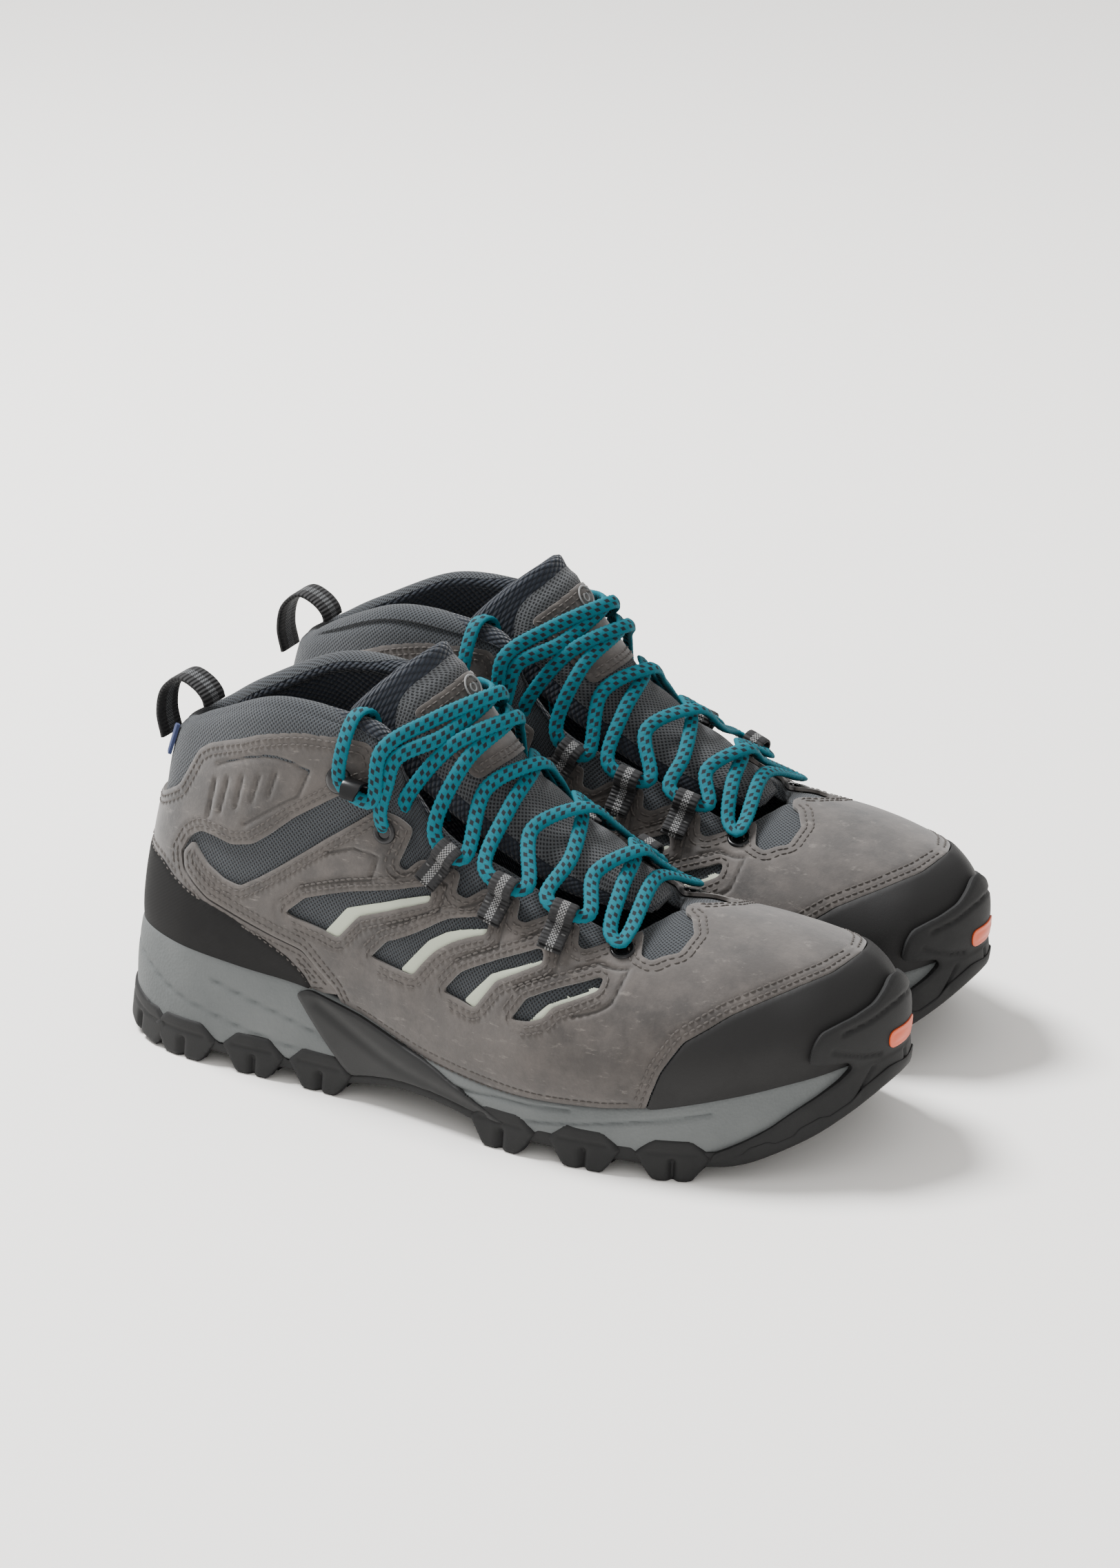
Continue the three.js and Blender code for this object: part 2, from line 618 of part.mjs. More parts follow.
function lowerLeather() {
  const rear = range(0, QUARTER_HOLD, 3);
  const columns = [...rear, ...stationsBetween(QUARTER_HOLD, THROAT_BASE).slice(1),
    ...range(THROAT_BASE, THROAT_BASE + 1, 3).slice(1)];
  const point = (side, c, level, offset) => {
    const back = c / QUARTER_HOLD;
    const topRib = back < 1 ? THREE.MathUtils.lerp(rearEdge(LEVELS[3]), QUARTER_HOLD, back) : c;
    const t = Math.min(level, quarterTop(topRib));
    if (back < 1) return skin(side, THREE.MathUtils.lerp(rearEdge(t), QUARTER_HOLD, back), t, offset());
    const s = c < THROAT_BASE ? c : THREE.MathUtils.lerp(THROAT_BASE, capEdge(t), c - THROAT_BASE);
    return skin(side, s, t, offset());
  };
  return twinWalls(columns, OVERLAY_LEVELS, point, ...overlay(LEATHER));
}

// Rubber toe cap, butted against the leather
const CAP_GAP = 0.06;

function toeCap() {
  const point = (side, u, t, offset) => (
    skin(side, THREE.MathUtils.lerp(capEdge(t) + CAP_GAP, LAST_RIB, u), t, offset()));
  return twinWalls([0, 0.25, 0.45, 0.6, 0.72, 0.84, 0.92, 1], OVERLAY_LEVELS, point, ...overlay(RAND));
}

// Tongue: an arch carried up the centre line of the throat, its legs inside the lining
const TONGUE_LINE = [[214, 82.5], [205, 88.5], [190, 98], [170, 110], [153, 123.5], [141, 138],
  [132, 152], [124, 166]];
const TONGUE_HALF = [9, 15, 19.5, 21, 22, 21, 20.5, 18];
const TONGUE_DEPTH = [3, 8, 14, 17, 21, 28, 33, 26];
const TONGUE_LAST = TONGUE_LINE.length - 1;
const TONGUE_DROP = 1.1;

function along(list, v) {
  const i = THREE.MathUtils.clamp(Math.floor(v), 0, list.length - 2);
  const at = (k) => [list[THREE.MathUtils.clamp(k, 0, list.length - 1)]].flat();
  return catmull(at(i - 1), at(i), at(i + 1), at(i + 2), v - i);
}

function tonguePoint(v, angle, offset) {
  const [x, z] = along(TONGUE_LINE, v);
  const [xa, za] = along(TONGUE_LINE, Math.max(v - 0.05, 0));
  const [xb, zb] = along(TONGUE_LINE, Math.min(v + 0.05, TONGUE_LAST));
  const length = Math.hypot(xb - xa, zb - za);
  const [nx, nz] = [(zb - za) / length, -(xb - xa) / length];
  const half = along(TONGUE_HALF, v)[0] + offset;
  const depth = along(TONGUE_DEPTH, v)[0] + offset;
  const back = offset - depth * (1 - Math.cos(angle));
  const w = half * Math.sin(angle);
  return new THREE.Vector3((x + nx * back) * SCALE_X, w * SCALE_W, scaledHeight(z + nz * back));
}

function tongueGrid(angles, from, to, offset, steps) {
  return angles.map((angle) => range(from, to(angle), steps).map((v) => tonguePoint(v, angle, offset)));
}

function tongue() {
  const angles = range(-Math.PI / 2, Math.PI / 2, 10);
  const top = (angle) => TONGUE_LAST - TONGUE_DROP * (angle / (Math.PI / 2)) ** 2;
  return shell(tongueGrid(angles, 0, top, 0, 10), tongueGrid(angles, 0, top, -TONGUE_WALL, 10));
}

function tonguePatch() {
  const angles = range(-0.95, 0.95, 6);
  const top = (angle) => 6.1 - 0.35 * angle ** 2;
  const grid = (offset) => tongueGrid(angles, 4.1, top, offset, 5);
  return shell(grid(FIT + LEATHER - 0.3), grid(FIT));
}

// Straps and hardware

// A flat strap follows [x, z] points and is extruded across the boot
function strap(points, thickness, width) {
  const route = points.map(([x, z]) => new THREE.Vector3(x * SCALE_X, 0, scaledHeight(z)));
  const curve = new THREE.CatmullRomCurve3(route);
  const stations = range(0, 1, 14).map((u) => {
    const tangent = curve.getTangentAt(u);
    return { at: curve.getPointAt(u), normal: new THREE.Vector3(-tangent.z, 0, tangent.x) };
  });
  const rows = (lift) => stations.map(({ at, normal }) => [-width / 2, width / 2]
    .map((y) => at.clone().addScaledVector(normal, lift).add(new THREE.Vector3(0, y, 0))));
  return shell(rows(thickness / 2), rows(-thickness / 2));
}

const PULL_ROUTE = [[8, 111.5], [6.3, 121], [8.5, 130.5], [15.5, 136], [22.5, 132.5], [25.5, 126.5],
  [25, 121.6]];

function pullLoop() {
  return strap(PULL_ROUTE, PULL_WALL, PULL_WIDTH);
}

// A frame on the skin: x along the boot, y up the wall, z outwards
function skinFrame(side, s, t, offset) {
  const at = skin(side, s, t, offset);
  const forward = skin(side, s + 0.05, t, offset).sub(at).normalize();
  const out = skin(side, s, t, offset + 1).sub(at).normalize();
  const up = forward.clone().cross(out).multiplyScalar(side).normalize();
  return { at, forward, up, out };
}

const SEAT = FIT + LEATHER + 0.7;

// A profile drawn in [up, out] and carried along the boot by width
function ribbonOnSkin(outline, bore, width, side, s, t, offset) {
  const shape = new THREE.Shape(outline.map(([u, v]) => new THREE.Vector2(u, v)));
  if (bore) shape.holes.push(new THREE.Path(bore.map(([u, v]) => new THREE.Vector2(u, v))));
  const body = new THREE.ExtrudeGeometry(shape, { depth: width, bevelEnabled: false });
  const { at, forward, up, out } = skinFrame(side, s, t, offset);
  body.translate(0, 0, -width / 2);
  body.applyMatrix4(new THREE.Matrix4().makeBasis(up, out, forward).setPosition(at));
  return indexed(body);
}

const arc = (radius, from, to, steps) => range(from, to, steps)
  .map((angle) => [Math.cos(angle) * radius, Math.sin(angle) * radius]);

// Where the lace is held on each side, as [rib, level], from the toes up
const LOOPS = [[9, 5.7], [8, 5.7], [7, 5.7]];
const HOOK_AT = [4.55, 5.25];

// Hook: a plate on the leather with a lip that curls out and down over the lace
const HOOK_PROFILE = [[-7, 0], [7, 0], [7, 1.6], [2, 1.6], [2, 8], [-3.4, 10], [-4, 8.6], [0.5, 6.8],
  [0.5, 1.6], [-7, 1.6]];

function hook(side) {
  return ribbonOnSkin(HOOK_PROFILE, null, HOOK_WIDTH, side, ...HOOK_AT, SEAT);
}

// Webbing loop: a folded band round the lace with its tail on the leather
const LOOP_SLACK = 1;
const LOOP_BORE = LACE_DIAMETER / 2 + LOOP_SLACK;
const LOOP_OUTER = LOOP_BORE + WEBBING;
const LOOP_TAIL = 10;

function laceLoop(side, s, t) {
  const outline = [
    [-LOOP_TAIL, -LOOP_OUTER],
    [0, -LOOP_OUTER],
    ...arc(LOOP_OUTER, -Math.PI / 2, Math.PI / 2, 6).slice(1),
    ...arc(LOOP_OUTER, Math.PI / 2, Math.PI + 0.75, 4).slice(1),
    [-LOOP_TAIL, -LOOP_OUTER + WEBBING],
  ];
  const bore = arc(LOOP_BORE, 0, 2 * Math.PI, 8).slice(1);
  return ribbonOnSkin(outline, bore, LOOP_WIDTH, side, s, t, SEAT + LOOP_OUTER);
}

// The lace lies in every loop and hook and crosses over the tongue between them. Both ends are
// tucked into the mouth of the boot on one side, called the tuck side here.
const IN_LOOP = SEAT + LOOP_OUTER;
const ON_EYELET = SEAT + LACE_DIAMETER / 2 + 0.8;
const IN_HOOK = SEAT + 4.3;
const OVER_EDGE = SEAT + LACE_DIAMETER / 2 + 1;

// Each hold is passed as [rib, level, height above the skin], from the toe side to the ankle side
const LOOP_REACH = LACE_DIAMETER * 0.09;
const throughLoop = ([s, t]) => [[s + LOOP_REACH, t, IN_LOOP], [s, t, IN_LOOP], [s - LOOP_REACH, t, IN_LOOP]];
const HOLDS = [
  [[10.35, 5.75, ON_EYELET], [10.1, 5.5, ON_EYELET], [9.8, 5.7, ON_EYELET]],
  ...LOOPS.map(throughLoop),
  [[5.9, 5.8, OVER_EDGE], [5.35, 4.9, ON_EYELET], [5.1, 4.8, ON_EYELET], [5.05, 5.2, ON_EYELET],
    [5.3, 6, OVER_EDGE]],
  [[5.02, 5.95, OVER_EDGE + 1], [4.85, 5.15, IN_HOOK], [4.55, 5.11, IN_HOOK], [4.25, 5.2, IN_HOOK],
    [4.3, 5.9, OVER_EDGE]],
];
const LACE_LOW = LACE_DIAMETER / 2 + 2.6;
const LACE_STEP = LACE_DIAMETER;
const FLANK = 0.95;

// Crossings over the tongue as [place up the tongue, spread, rise]; the last two are on the patch
const PATCH_RISE = LEATHER + 1.7;
const CROSSINGS = [[1.45, 0.3, 0], [2.6, 0.36, 0], [3.7, 0.25, 0], [4.75, 0.2, PATCH_RISE],
  [5.4, 0.2, PATCH_RISE]];

function crossing(side, k, over) {
  const [v, spread, rise] = CROSSINGS[k];
  const height = LACE_LOW + rise + (over ? LACE_STEP : 0);
  return [
    tonguePoint(v - spread, side * FLANK, LACE_LOW + rise + 1),
    tonguePoint(v, 0, height),
    tonguePoint(v + spread, -side * FLANK, LACE_LOW + rise + 1),
  ];
}

// From the lowest eyelet up to a hook, changing sides at each crossing
function laceHalf(side, firstOver) {
  const points = [];
  HOLDS.forEach((hold, k) => {
    const here = k % 2 ? -side : side;
    points.push(...hold.map(([s, t, height]) => skin(here, s, t, height)));
    if (k + 1 < HOLDS.length) points.push(...crossing(here, k, (k % 2 === 0) === firstOver));
  });
  return points;
}

const TUCK_LONG = [[112, 27.5, 145], [103, 25.5, 147], [94, 19.5, 144.5], [90, 17, 133], [89, 16, 114]];
const TUCK_SHORT = [[85, 26, 146.5], [80, 18.5, 143], [78, 16.5, 132], [78, 16, 114]];
const tucked = (side, route) => route
  .map(([x, w, z]) => new THREE.Vector3(x * SCALE_X, side * w * SCALE_W, scaledHeight(z)));

// The half that ends on the far hook goes back over the tongue to the tuck side
function backOver(tuckSide) {
  const rise = LACE_LOW + PATCH_RISE;
  return [tonguePoint(5.6, -tuckSide * FLANK, rise + 1), tonguePoint(5.85, 0, rise),
    tonguePoint(5.8, tuckSide * FLANK, rise), ...tucked(tuckSide, TUCK_LONG)];
}

function lace(tuckSide) {
  const far = laceHalf(tuckSide, true).concat(backOver(tuckSide));
  const near = laceHalf(-tuckSide, false).concat(tucked(tuckSide, TUCK_SHORT));
  const points = [...far.reverse(), tonguePoint(0.75, 0, LACE_LOW), ...near];
  const route = new THREE.CatmullRomCurve3(points, false, 'centripetal');
  route.getPointAt = route.getPoint;
  route.getTangentAt = route.getTangent;
  const section = new THREE.Shape(arc(LACE_DIAMETER / 2, 0, 2 * Math.PI, LACE_SIDES).slice(1)
    .map(([u, v]) => new THREE.Vector2(u, v)));
  return indexed(new THREE.ExtrudeGeometry(section, { steps: points.length - 1, extrudePath: route }));
}

// Trim

const EMBLEM_BACK = FIT + RAND + FIT + WRAP + 0.9;
const EMBLEM_WALL = 1.2;

function toeEmblem() {
  const stations = toeStations(LAST_RIB - 0.2);
  const rows = (offset) => stations.map(([side, s]) => range(1.25, 1.75, 2)
    .map((t) => skin(side, s, t, EMBLEM_BACK + offset)));
  return shell(rows(EMBLEM_WALL), rows(0));
}

function labelTab() {
  const rows = (lift) => [0.62, 0.9].map((s) => [5.3, 5.95].map((t) => skin(1, s, t, SEAT + 0.4 + lift)));
  return shell(rows(1), rows(0));
}

// Assembly

const COLOURS = {
  rubber: [0x1b1c1d, 0.75], midsole: [0x7d8486, 0.85], plastic: [0x232425, 0.5], board: [0xb9a98c, 0.9],
  footbed: [0x2b3a44, 0.95], mesh: [0x4d5359, 0.95], lining: [0x20262e, 0.98], foam: [0xc9c6bd, 0.98],
  leather: [0x70665f, 0.85], webbing: [0x17181a, 0.85], lace: [0x0b7f93, 0.8], metal: [0x141414, 0.3, 0.6],
  orange: [0xf06414, 0.6], label: [0x27304d, 0.9],
};

function named(name, geometry, finish) {
  const [color, roughness, metalness = 0] = COLOURS[finish];
  const mesh = new THREE.Mesh(geometry, new THREE.MeshStandardMaterial({ color, roughness, metalness }));
  mesh.name = name;
  return mesh;
}

function boot(foot, tuckSide) {
  const parts = [
    ['outsole', outsole(), 'rubber'],
    ['arch_shank', archShank(0), 'plastic'],
    ['midsole', midsole(), 'midsole'],
    ['shank_plate', shankPlate(0), 'plastic'],
    ['lasting_board', lastingBoard(), 'board'],
    ['footbed', footbed(), 'footbed'],
    ['mesh_upper', meshUpper(), 'mesh'],
    ['lining', lining(), 'lining'],
    ['collar_padding', collarPadding(), 'foam'],
    ['heel_counter', heelCounter(), 'board'],
    ['toe_puff', toePuff(), 'board'],
    ['heel_band', heelBand(), 'rubber'],
    ['ankle_leather', ankleLeather(), 'leather'],
    ['lower_leather', lowerLeather(), 'leather'],
    ['toe_cap', toeCap(), 'rubber'],
    ['tongue', tongue(), 'mesh'],
    ['tongue_patch', tonguePatch(), 'leather'],
    ['pull_loop', pullLoop(), 'webbing'],
    ['toe_emblem', toeEmblem(), 'orange'],
    ['label_tab', labelTab(), 'label'],
    ['lace', lace(tuckSide), 'lace'],
  ];
  [['outer', 1], ['inner', -1]].forEach(([where, side]) => {
    parts.push([`hook_${where}`, hook(side), 'metal']);
    LOOPS.forEach(([s, t], i) => parts.push([`lace_loop_${where}_${i + 1}`, laceLoop(side, s, t),
      'webbing']));
  });
  return parts.map(([name, geometry, finish]) => named(`${foot}_${name}`, handed(geometry, foot), finish));
}

// A part is drawn with its outer side on +Y, as a left boot has it; a right boot is its mirror image
function handed(geometry, foot) {
  if (foot === 'left') return geometry;
  geometry.applyMatrix4(new THREE.Matrix4().makeScale(1, -1, 1));
  return outward(geometry);
}

const pair = new THREE.Group();
const right = new THREE.Group();
right.add(...boot('right', -1));
const left = new THREE.Group();
left.add(...boot('left', 1));
left.position.set(PAIR_STAGGER, PAIR_SPACING, 0);
left.rotation.z = THREE.MathUtils.degToRad(PAIR_TOE_OUT);
pair.add(right, left);

// The pair's origin is the middle of its footprint, on the ground
pair.updateMatrixWorld(true);
const bounds = new THREE.Box3().setFromObject(pair, true);
const middle = bounds.getCenter(new THREE.Vector3());
pair.position.set(-middle.x, -middle.y, -bounds.min.z);

export default pair;
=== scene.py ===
"""A pair of mid-height hiking boots in nubuck, mesh and rubber, on a pale floor.

Every surface is drawn once in one boot's own millimetres: x from the heel, q outwards from the
middle of the foot, z up. place() turns that into metres as a right or as a left boot. The skin of
the upper is a grid of ribs: s counts the ribs from the heel (0) to the toe (16), t counts the
levels from the sole edge (0) to the top line (6). s from 16 to 32 is the inner side, toe to heel,
and a negative s is the inner side counted from the heel.
"""

import bpy
import numpy as np
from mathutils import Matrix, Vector


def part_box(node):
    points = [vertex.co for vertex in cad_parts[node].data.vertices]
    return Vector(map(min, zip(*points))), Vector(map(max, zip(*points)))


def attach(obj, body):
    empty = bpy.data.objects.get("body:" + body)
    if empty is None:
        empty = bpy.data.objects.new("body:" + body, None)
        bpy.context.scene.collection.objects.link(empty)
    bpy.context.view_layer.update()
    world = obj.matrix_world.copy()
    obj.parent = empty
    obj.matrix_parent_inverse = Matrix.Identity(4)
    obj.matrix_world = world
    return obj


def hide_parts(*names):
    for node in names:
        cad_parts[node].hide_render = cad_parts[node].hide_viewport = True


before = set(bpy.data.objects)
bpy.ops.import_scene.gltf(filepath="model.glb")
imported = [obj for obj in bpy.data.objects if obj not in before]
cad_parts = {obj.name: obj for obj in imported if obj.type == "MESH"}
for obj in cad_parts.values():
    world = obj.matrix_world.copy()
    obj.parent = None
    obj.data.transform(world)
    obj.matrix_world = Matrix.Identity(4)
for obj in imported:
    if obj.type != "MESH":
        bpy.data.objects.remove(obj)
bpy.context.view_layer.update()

MM = 0.001
FEET = ("right", "left")

# The skin's ribs as [x, half width, z], the same as the frame's
RIBS = np.array([
  [[4, 0, 28], [4.5, 0, 46], [6, 0, 60], [8, 0, 74], [10.5, 0, 88], [13.5, 0, 103], [17, 0, 119]],
  [[10, 18, 28], [9.5, 20.5, 46], [11, 21, 60], [13.5, 20.5, 74], [16, 19, 88], [19.5, 17.5, 104],
    [24, 14, 122]],
  [[31, 29.5, 27], [31, 33, 44.5], [32, 33.5, 57], [34, 32, 73], [36, 29, 90], [38, 26.5, 110],
    [39, 21, 129]],
  [[59, 32.5, 25], [59, 36, 42], [60, 37, 55], [62, 36, 73], [64, 34, 93], [66, 32.5, 118],
    [67, 28.5, 140]],
  [[87, 32.5, 25.5], [87, 36, 40], [89, 38, 53], [92, 37.5, 72], [94, 35, 93], [95, 33.5, 116],
    [95, 30.5, 140]],
  [[111, 33, 23.5], [111, 37, 35], [113, 39.5, 50], [116, 38.5, 69], [119, 36, 88], [119, 33.5, 111],
    [117, 29.5, 135]],
  [[127, 34.5, 21.5], [127, 39, 30], [129, 41.5, 44], [131, 40.5, 63], [133, 37, 81], [132, 33.5, 99],
    [127, 29, 118]],
  [[142, 36.5, 19], [142, 41.5, 25.5], [144, 43.5, 40], [146, 42, 59], [147, 38.5, 76],
    [146, 34.5, 89], [143, 29, 102]],
  [[165, 40.5, 16.3], [165, 45.5, 22.5], [166, 47.5, 37], [168, 45.5, 54], [169, 41.5, 69],
    [168, 36, 81], [167, 28, 93]],
  [[190, 44.5, 14.5], [190, 49.5, 22], [190, 51.5, 34], [190, 50, 49], [190, 45, 63], [190, 37.5, 75],
    [189, 26.5, 84]],
  [[212, 46.5, 14.5], [212, 51.5, 23.5], [212, 53, 34], [212, 51.5, 46], [212, 46.5, 59],
    [211, 37, 69], [208, 22.5, 76]],
  [[224, 46.5, 15.5], [224, 51.5, 25], [224, 53, 35.5], [223, 51.5, 47], [222, 45, 60], [220, 33, 71],
    [217, 13, 79]],
  [[236, 45.5, 17], [236, 50.5, 27], [236, 51.5, 37.5], [235, 49.5, 48.5], [233, 43, 61],
    [229, 27, 73], [222, 0, 80]],
  [[253, 41.5, 19.5], [253, 46, 31], [253, 47.5, 40.5], [252, 45.5, 50.5], [250, 39, 62],
    [246, 24, 73], [242, 0, 78.5]],
  [[270, 33.5, 22.5], [270, 38, 35], [270, 39.5, 44], [269, 38, 52.5], [267, 32, 62.5],
    [265, 19.5, 72], [262, 0, 76]],
  [[285, 22, 26], [286, 26, 39], [286, 27.5, 47.5], [285, 26.5, 55.5], [283, 22, 63.5],
    [281, 13, 70.5], [278, 0, 73.5]],
  [[294, 0, 29], [297.5, 0, 41], [298.5, 0, 49.5], [298, 0, 57], [295.5, 0, 64], [291, 0, 69.5],
    [286, 0, 72]],
], float)
LAST_RIB = 16
ROUND = 32
TOP_LEVEL = 6
THROAT_BASE = 12
CENTRE_LINE = [[0, 0], [60, 0.5], [100, 3], [140, 5], [180, 5], [205, 2.5], [230, -0.5], [255, -3.5],
               [275, -6.5], [300, -9]]
CENTRE_FADE = (60, 120)
TREAD_BOTTOM = [[-3, 12], [12, 8], [26, 5], [105, 5], [118, 7.5], [132, 9.5], [150, 9], [170, 6], [185, 5],
                [250, 5], [266, 7], [282, 14], [294, 22], [304, 31]]
FLARE = [[0, 6.5], [3, 5], [6, 3.5], [9, 3.5], [13, 4], [16, 4]]

# Walls
FIT = 0.6
MESH_WALL = 1.2
LINING_WALL = 1.2
STIFFENER = 1.2
COLLAR_PAD = 5
LEATHER = 1.6
RAND = 2.1
RIM = 2.2
TREAD = 4
WRAP = 2.2

# How the pair stands
PAIR_STAGGER, PAIR_SPACING, PAIR_TOE_OUT = -9, 103, np.radians(2.25)
PLATE_START = 62
plate_low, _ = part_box("right_shank_plate")
pull_low, pull_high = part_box("right_pull_loop")
PAIR_ORIGIN = np.array([plate_low.x / MM - PLATE_START, (pull_low.y + pull_high.y) / 2 / MM, 0])


def place(points, foot):
    """Boot millimetres to metres in the pair's frame.

    A right boot has q towards -Y; a left one has it towards +Y and is turned out at the toe.
    """
    x, q, z = np.moveaxis(np.asarray(points, float), -1, 0)
    if foot == "right":
        world = np.stack([x, -q, z], -1)
    else:
        cos, sin = np.cos(PAIR_TOE_OUT), np.sin(PAIR_TOE_OUT)
        world = np.stack([PAIR_STAGGER + x * cos - q * sin, PAIR_SPACING + x * sin + q * cos, z], -1)
    return (world + PAIR_ORIGIN) * MM


# Curves

def smooth(u, low=0.0, high=1.0):
    """0 below low, 1 above high, and 3u2 - 2u3 between."""
    u = np.clip((np.asarray(u, float) - low) / (high - low), 0, 1)
    return u * u * (3 - 2 * u)


def hermite(a, b, slope_a, slope_b, u):
    """The cubic from a to b with the given slopes at its ends."""
    u2, u3 = u * u, u * u * u
    ends = (2 * u3 - 3 * u2 + 1) * a + (u3 - 2 * u2 + u) * slope_a
    return ends + (3 * u2 - 2 * u3) * b + (u3 - u2) * slope_b


def catmull(p, u):
    """The cubic from p[1] to p[2] whose slopes come from the neighbours p[0] and p[3]."""
    return hermite(p[1], p[2], (p[2] - p[0]) / 2, (p[3] - p[1]) / 2, u)


def table(rows, x):
    """A table of [x, value] read as one smooth curve."""
    rows = np.asarray(rows, float)
    at = np.clip(x, rows[0, 0], rows[-1, 0])
    i = np.clip(np.searchsorted(rows[:, 0], at, side="right") - 1, 0, len(rows) - 2)
    k = np.arange(len(rows))
    before, after = rows[np.maximum(k - 1, 0)], rows[np.minimum(k + 1, len(rows) - 1)]
    slope = (after[:, 1] - before[:, 1]) / (after[:, 0] - before[:, 0])
    span = rows[i + 1, 0] - rows[i, 0]
    return hermite(rows[i, 1], rows[i + 1, 1], slope[i] * span, slope[i + 1] * span, (at - rows[i, 0]) / span)


def lengths(points):
    """Distance along a line of points, from its first point."""
    steps = np.linalg.norm(np.diff(points, axis=0), axis=1)
    return np.concatenate([[0], np.cumsum(steps)])


def along(points, at):
    """Points at the given distances along a line."""
    run = lengths(points)
    return np.stack([np.interp(at, run, column) for column in np.asarray(points, float).T], -1)


def as_grids(*values):
    """Numbers and arrays as arrays of one shape."""
    return np.broadcast_arrays(*[np.asarray(value, float) for value in values])


def unit(vectors):
    """Each vector divided by its length."""
    return vectors / np.maximum(np.linalg.norm(vectors, axis=-1, keepdims=True), 1e-12)


# The skin

MIRROR = np.array([1, -1, 1.0])
EXTENDED = np.concatenate([RIBS[1:2] * MIRROR, RIBS, RIBS[-2:-1] * MIRROR])


def half_point(s, t):
    """A bicubic through the ribs: cubic along s on every level, then cubic up t between the levels."""
    s, t = as_grids(s, t)
    s = np.mod(s + LAST_RIB, ROUND) - LAST_RIB
    inner = s < 0
    s = np.abs(s)
    i = np.clip(np.floor(s).astype(int), 0, LAST_RIB - 1)
    u = (s - i)[..., None, None]
    levels = catmull([EXTENDED[i + k] for k in range(4)], u)
    levels[..., 1] = np.maximum(levels[..., 1], 0)
    closed = np.clip(s - (THROAT_BASE - 1), 0, 1)[..., None]
    below = 2 * levels[..., 0, :] - levels[..., 1, :]
    beyond = 2 * levels[..., -1, :] - levels[..., -2, :]
    above = beyond + (levels[..., -2, :] * MIRROR - beyond) * closed
    ladder = np.concatenate([below[..., None, :], levels, above[..., None, :]], axis=-2)
    j = np.clip(np.floor(t).astype(int), 0, TOP_LEVEL - 1)
    pick = [np.take_along_axis(ladder, (j + k)[..., None, None], axis=-2)[..., 0, :] for k in range(4)]
    p = catmull(pick, (t - j)[..., None])
    p[..., 1] = np.where(inner, -p[..., 1], p[..., 1])
    return p


def half_normal(s, t):
    """Up the skin crossed with forward along it."""
    step = 0.02
    forward = half_point(s + step, t) - half_point(s - step, t)
    up = half_point(s, np.minimum(t + step, TOP_LEVEL)) - half_point(s, np.maximum(t - step, 0))
    normal = np.cross(up, forward)
    normal[..., 1] = np.where(np.abs(half_point(s, t)[..., 1]) < 1e-6, 0, normal[..., 1])
    return unit(normal)


def centre_shift(x, z):
    """The foot's curved middle line, fading out up the ankle."""
    return table(CENTRE_LINE, x) * (1 - smooth(z, *CENTRE_FADE))


def skin(s, t, offset=0.0):
    """The rib surface, offset along its normal and bent about the foot's middle line."""
    s, t = as_grids(s, t)
    p = half_point(s, np.minimum(t, TOP_LEVEL))
    q = p + half_normal(s, np.minimum(t, TOP_LEVEL)) * np.asarray(offset, float)[..., None]
    q[..., 1] = np.where(np.abs(p[..., 1]) < 1e-6, 0, q[..., 1]) + centre_shift(p[..., 0], p[..., 2])
    return q


def skin_normal(s, t):
    """The way from the skin to a point one millimetre outside it."""
    return unit(skin(s, t, 1.0) - skin(s, t, 0.0))


# Meshes

def weld(points, tolerance=2e-3):
    """One index for every group of points in the same place."""
    keys = np.round(np.asarray(points) / tolerance).astype(np.int64)
    _, first, back = np.unique(keys, axis=0, return_index=True, return_inverse=True)
    return first, back.ravel()


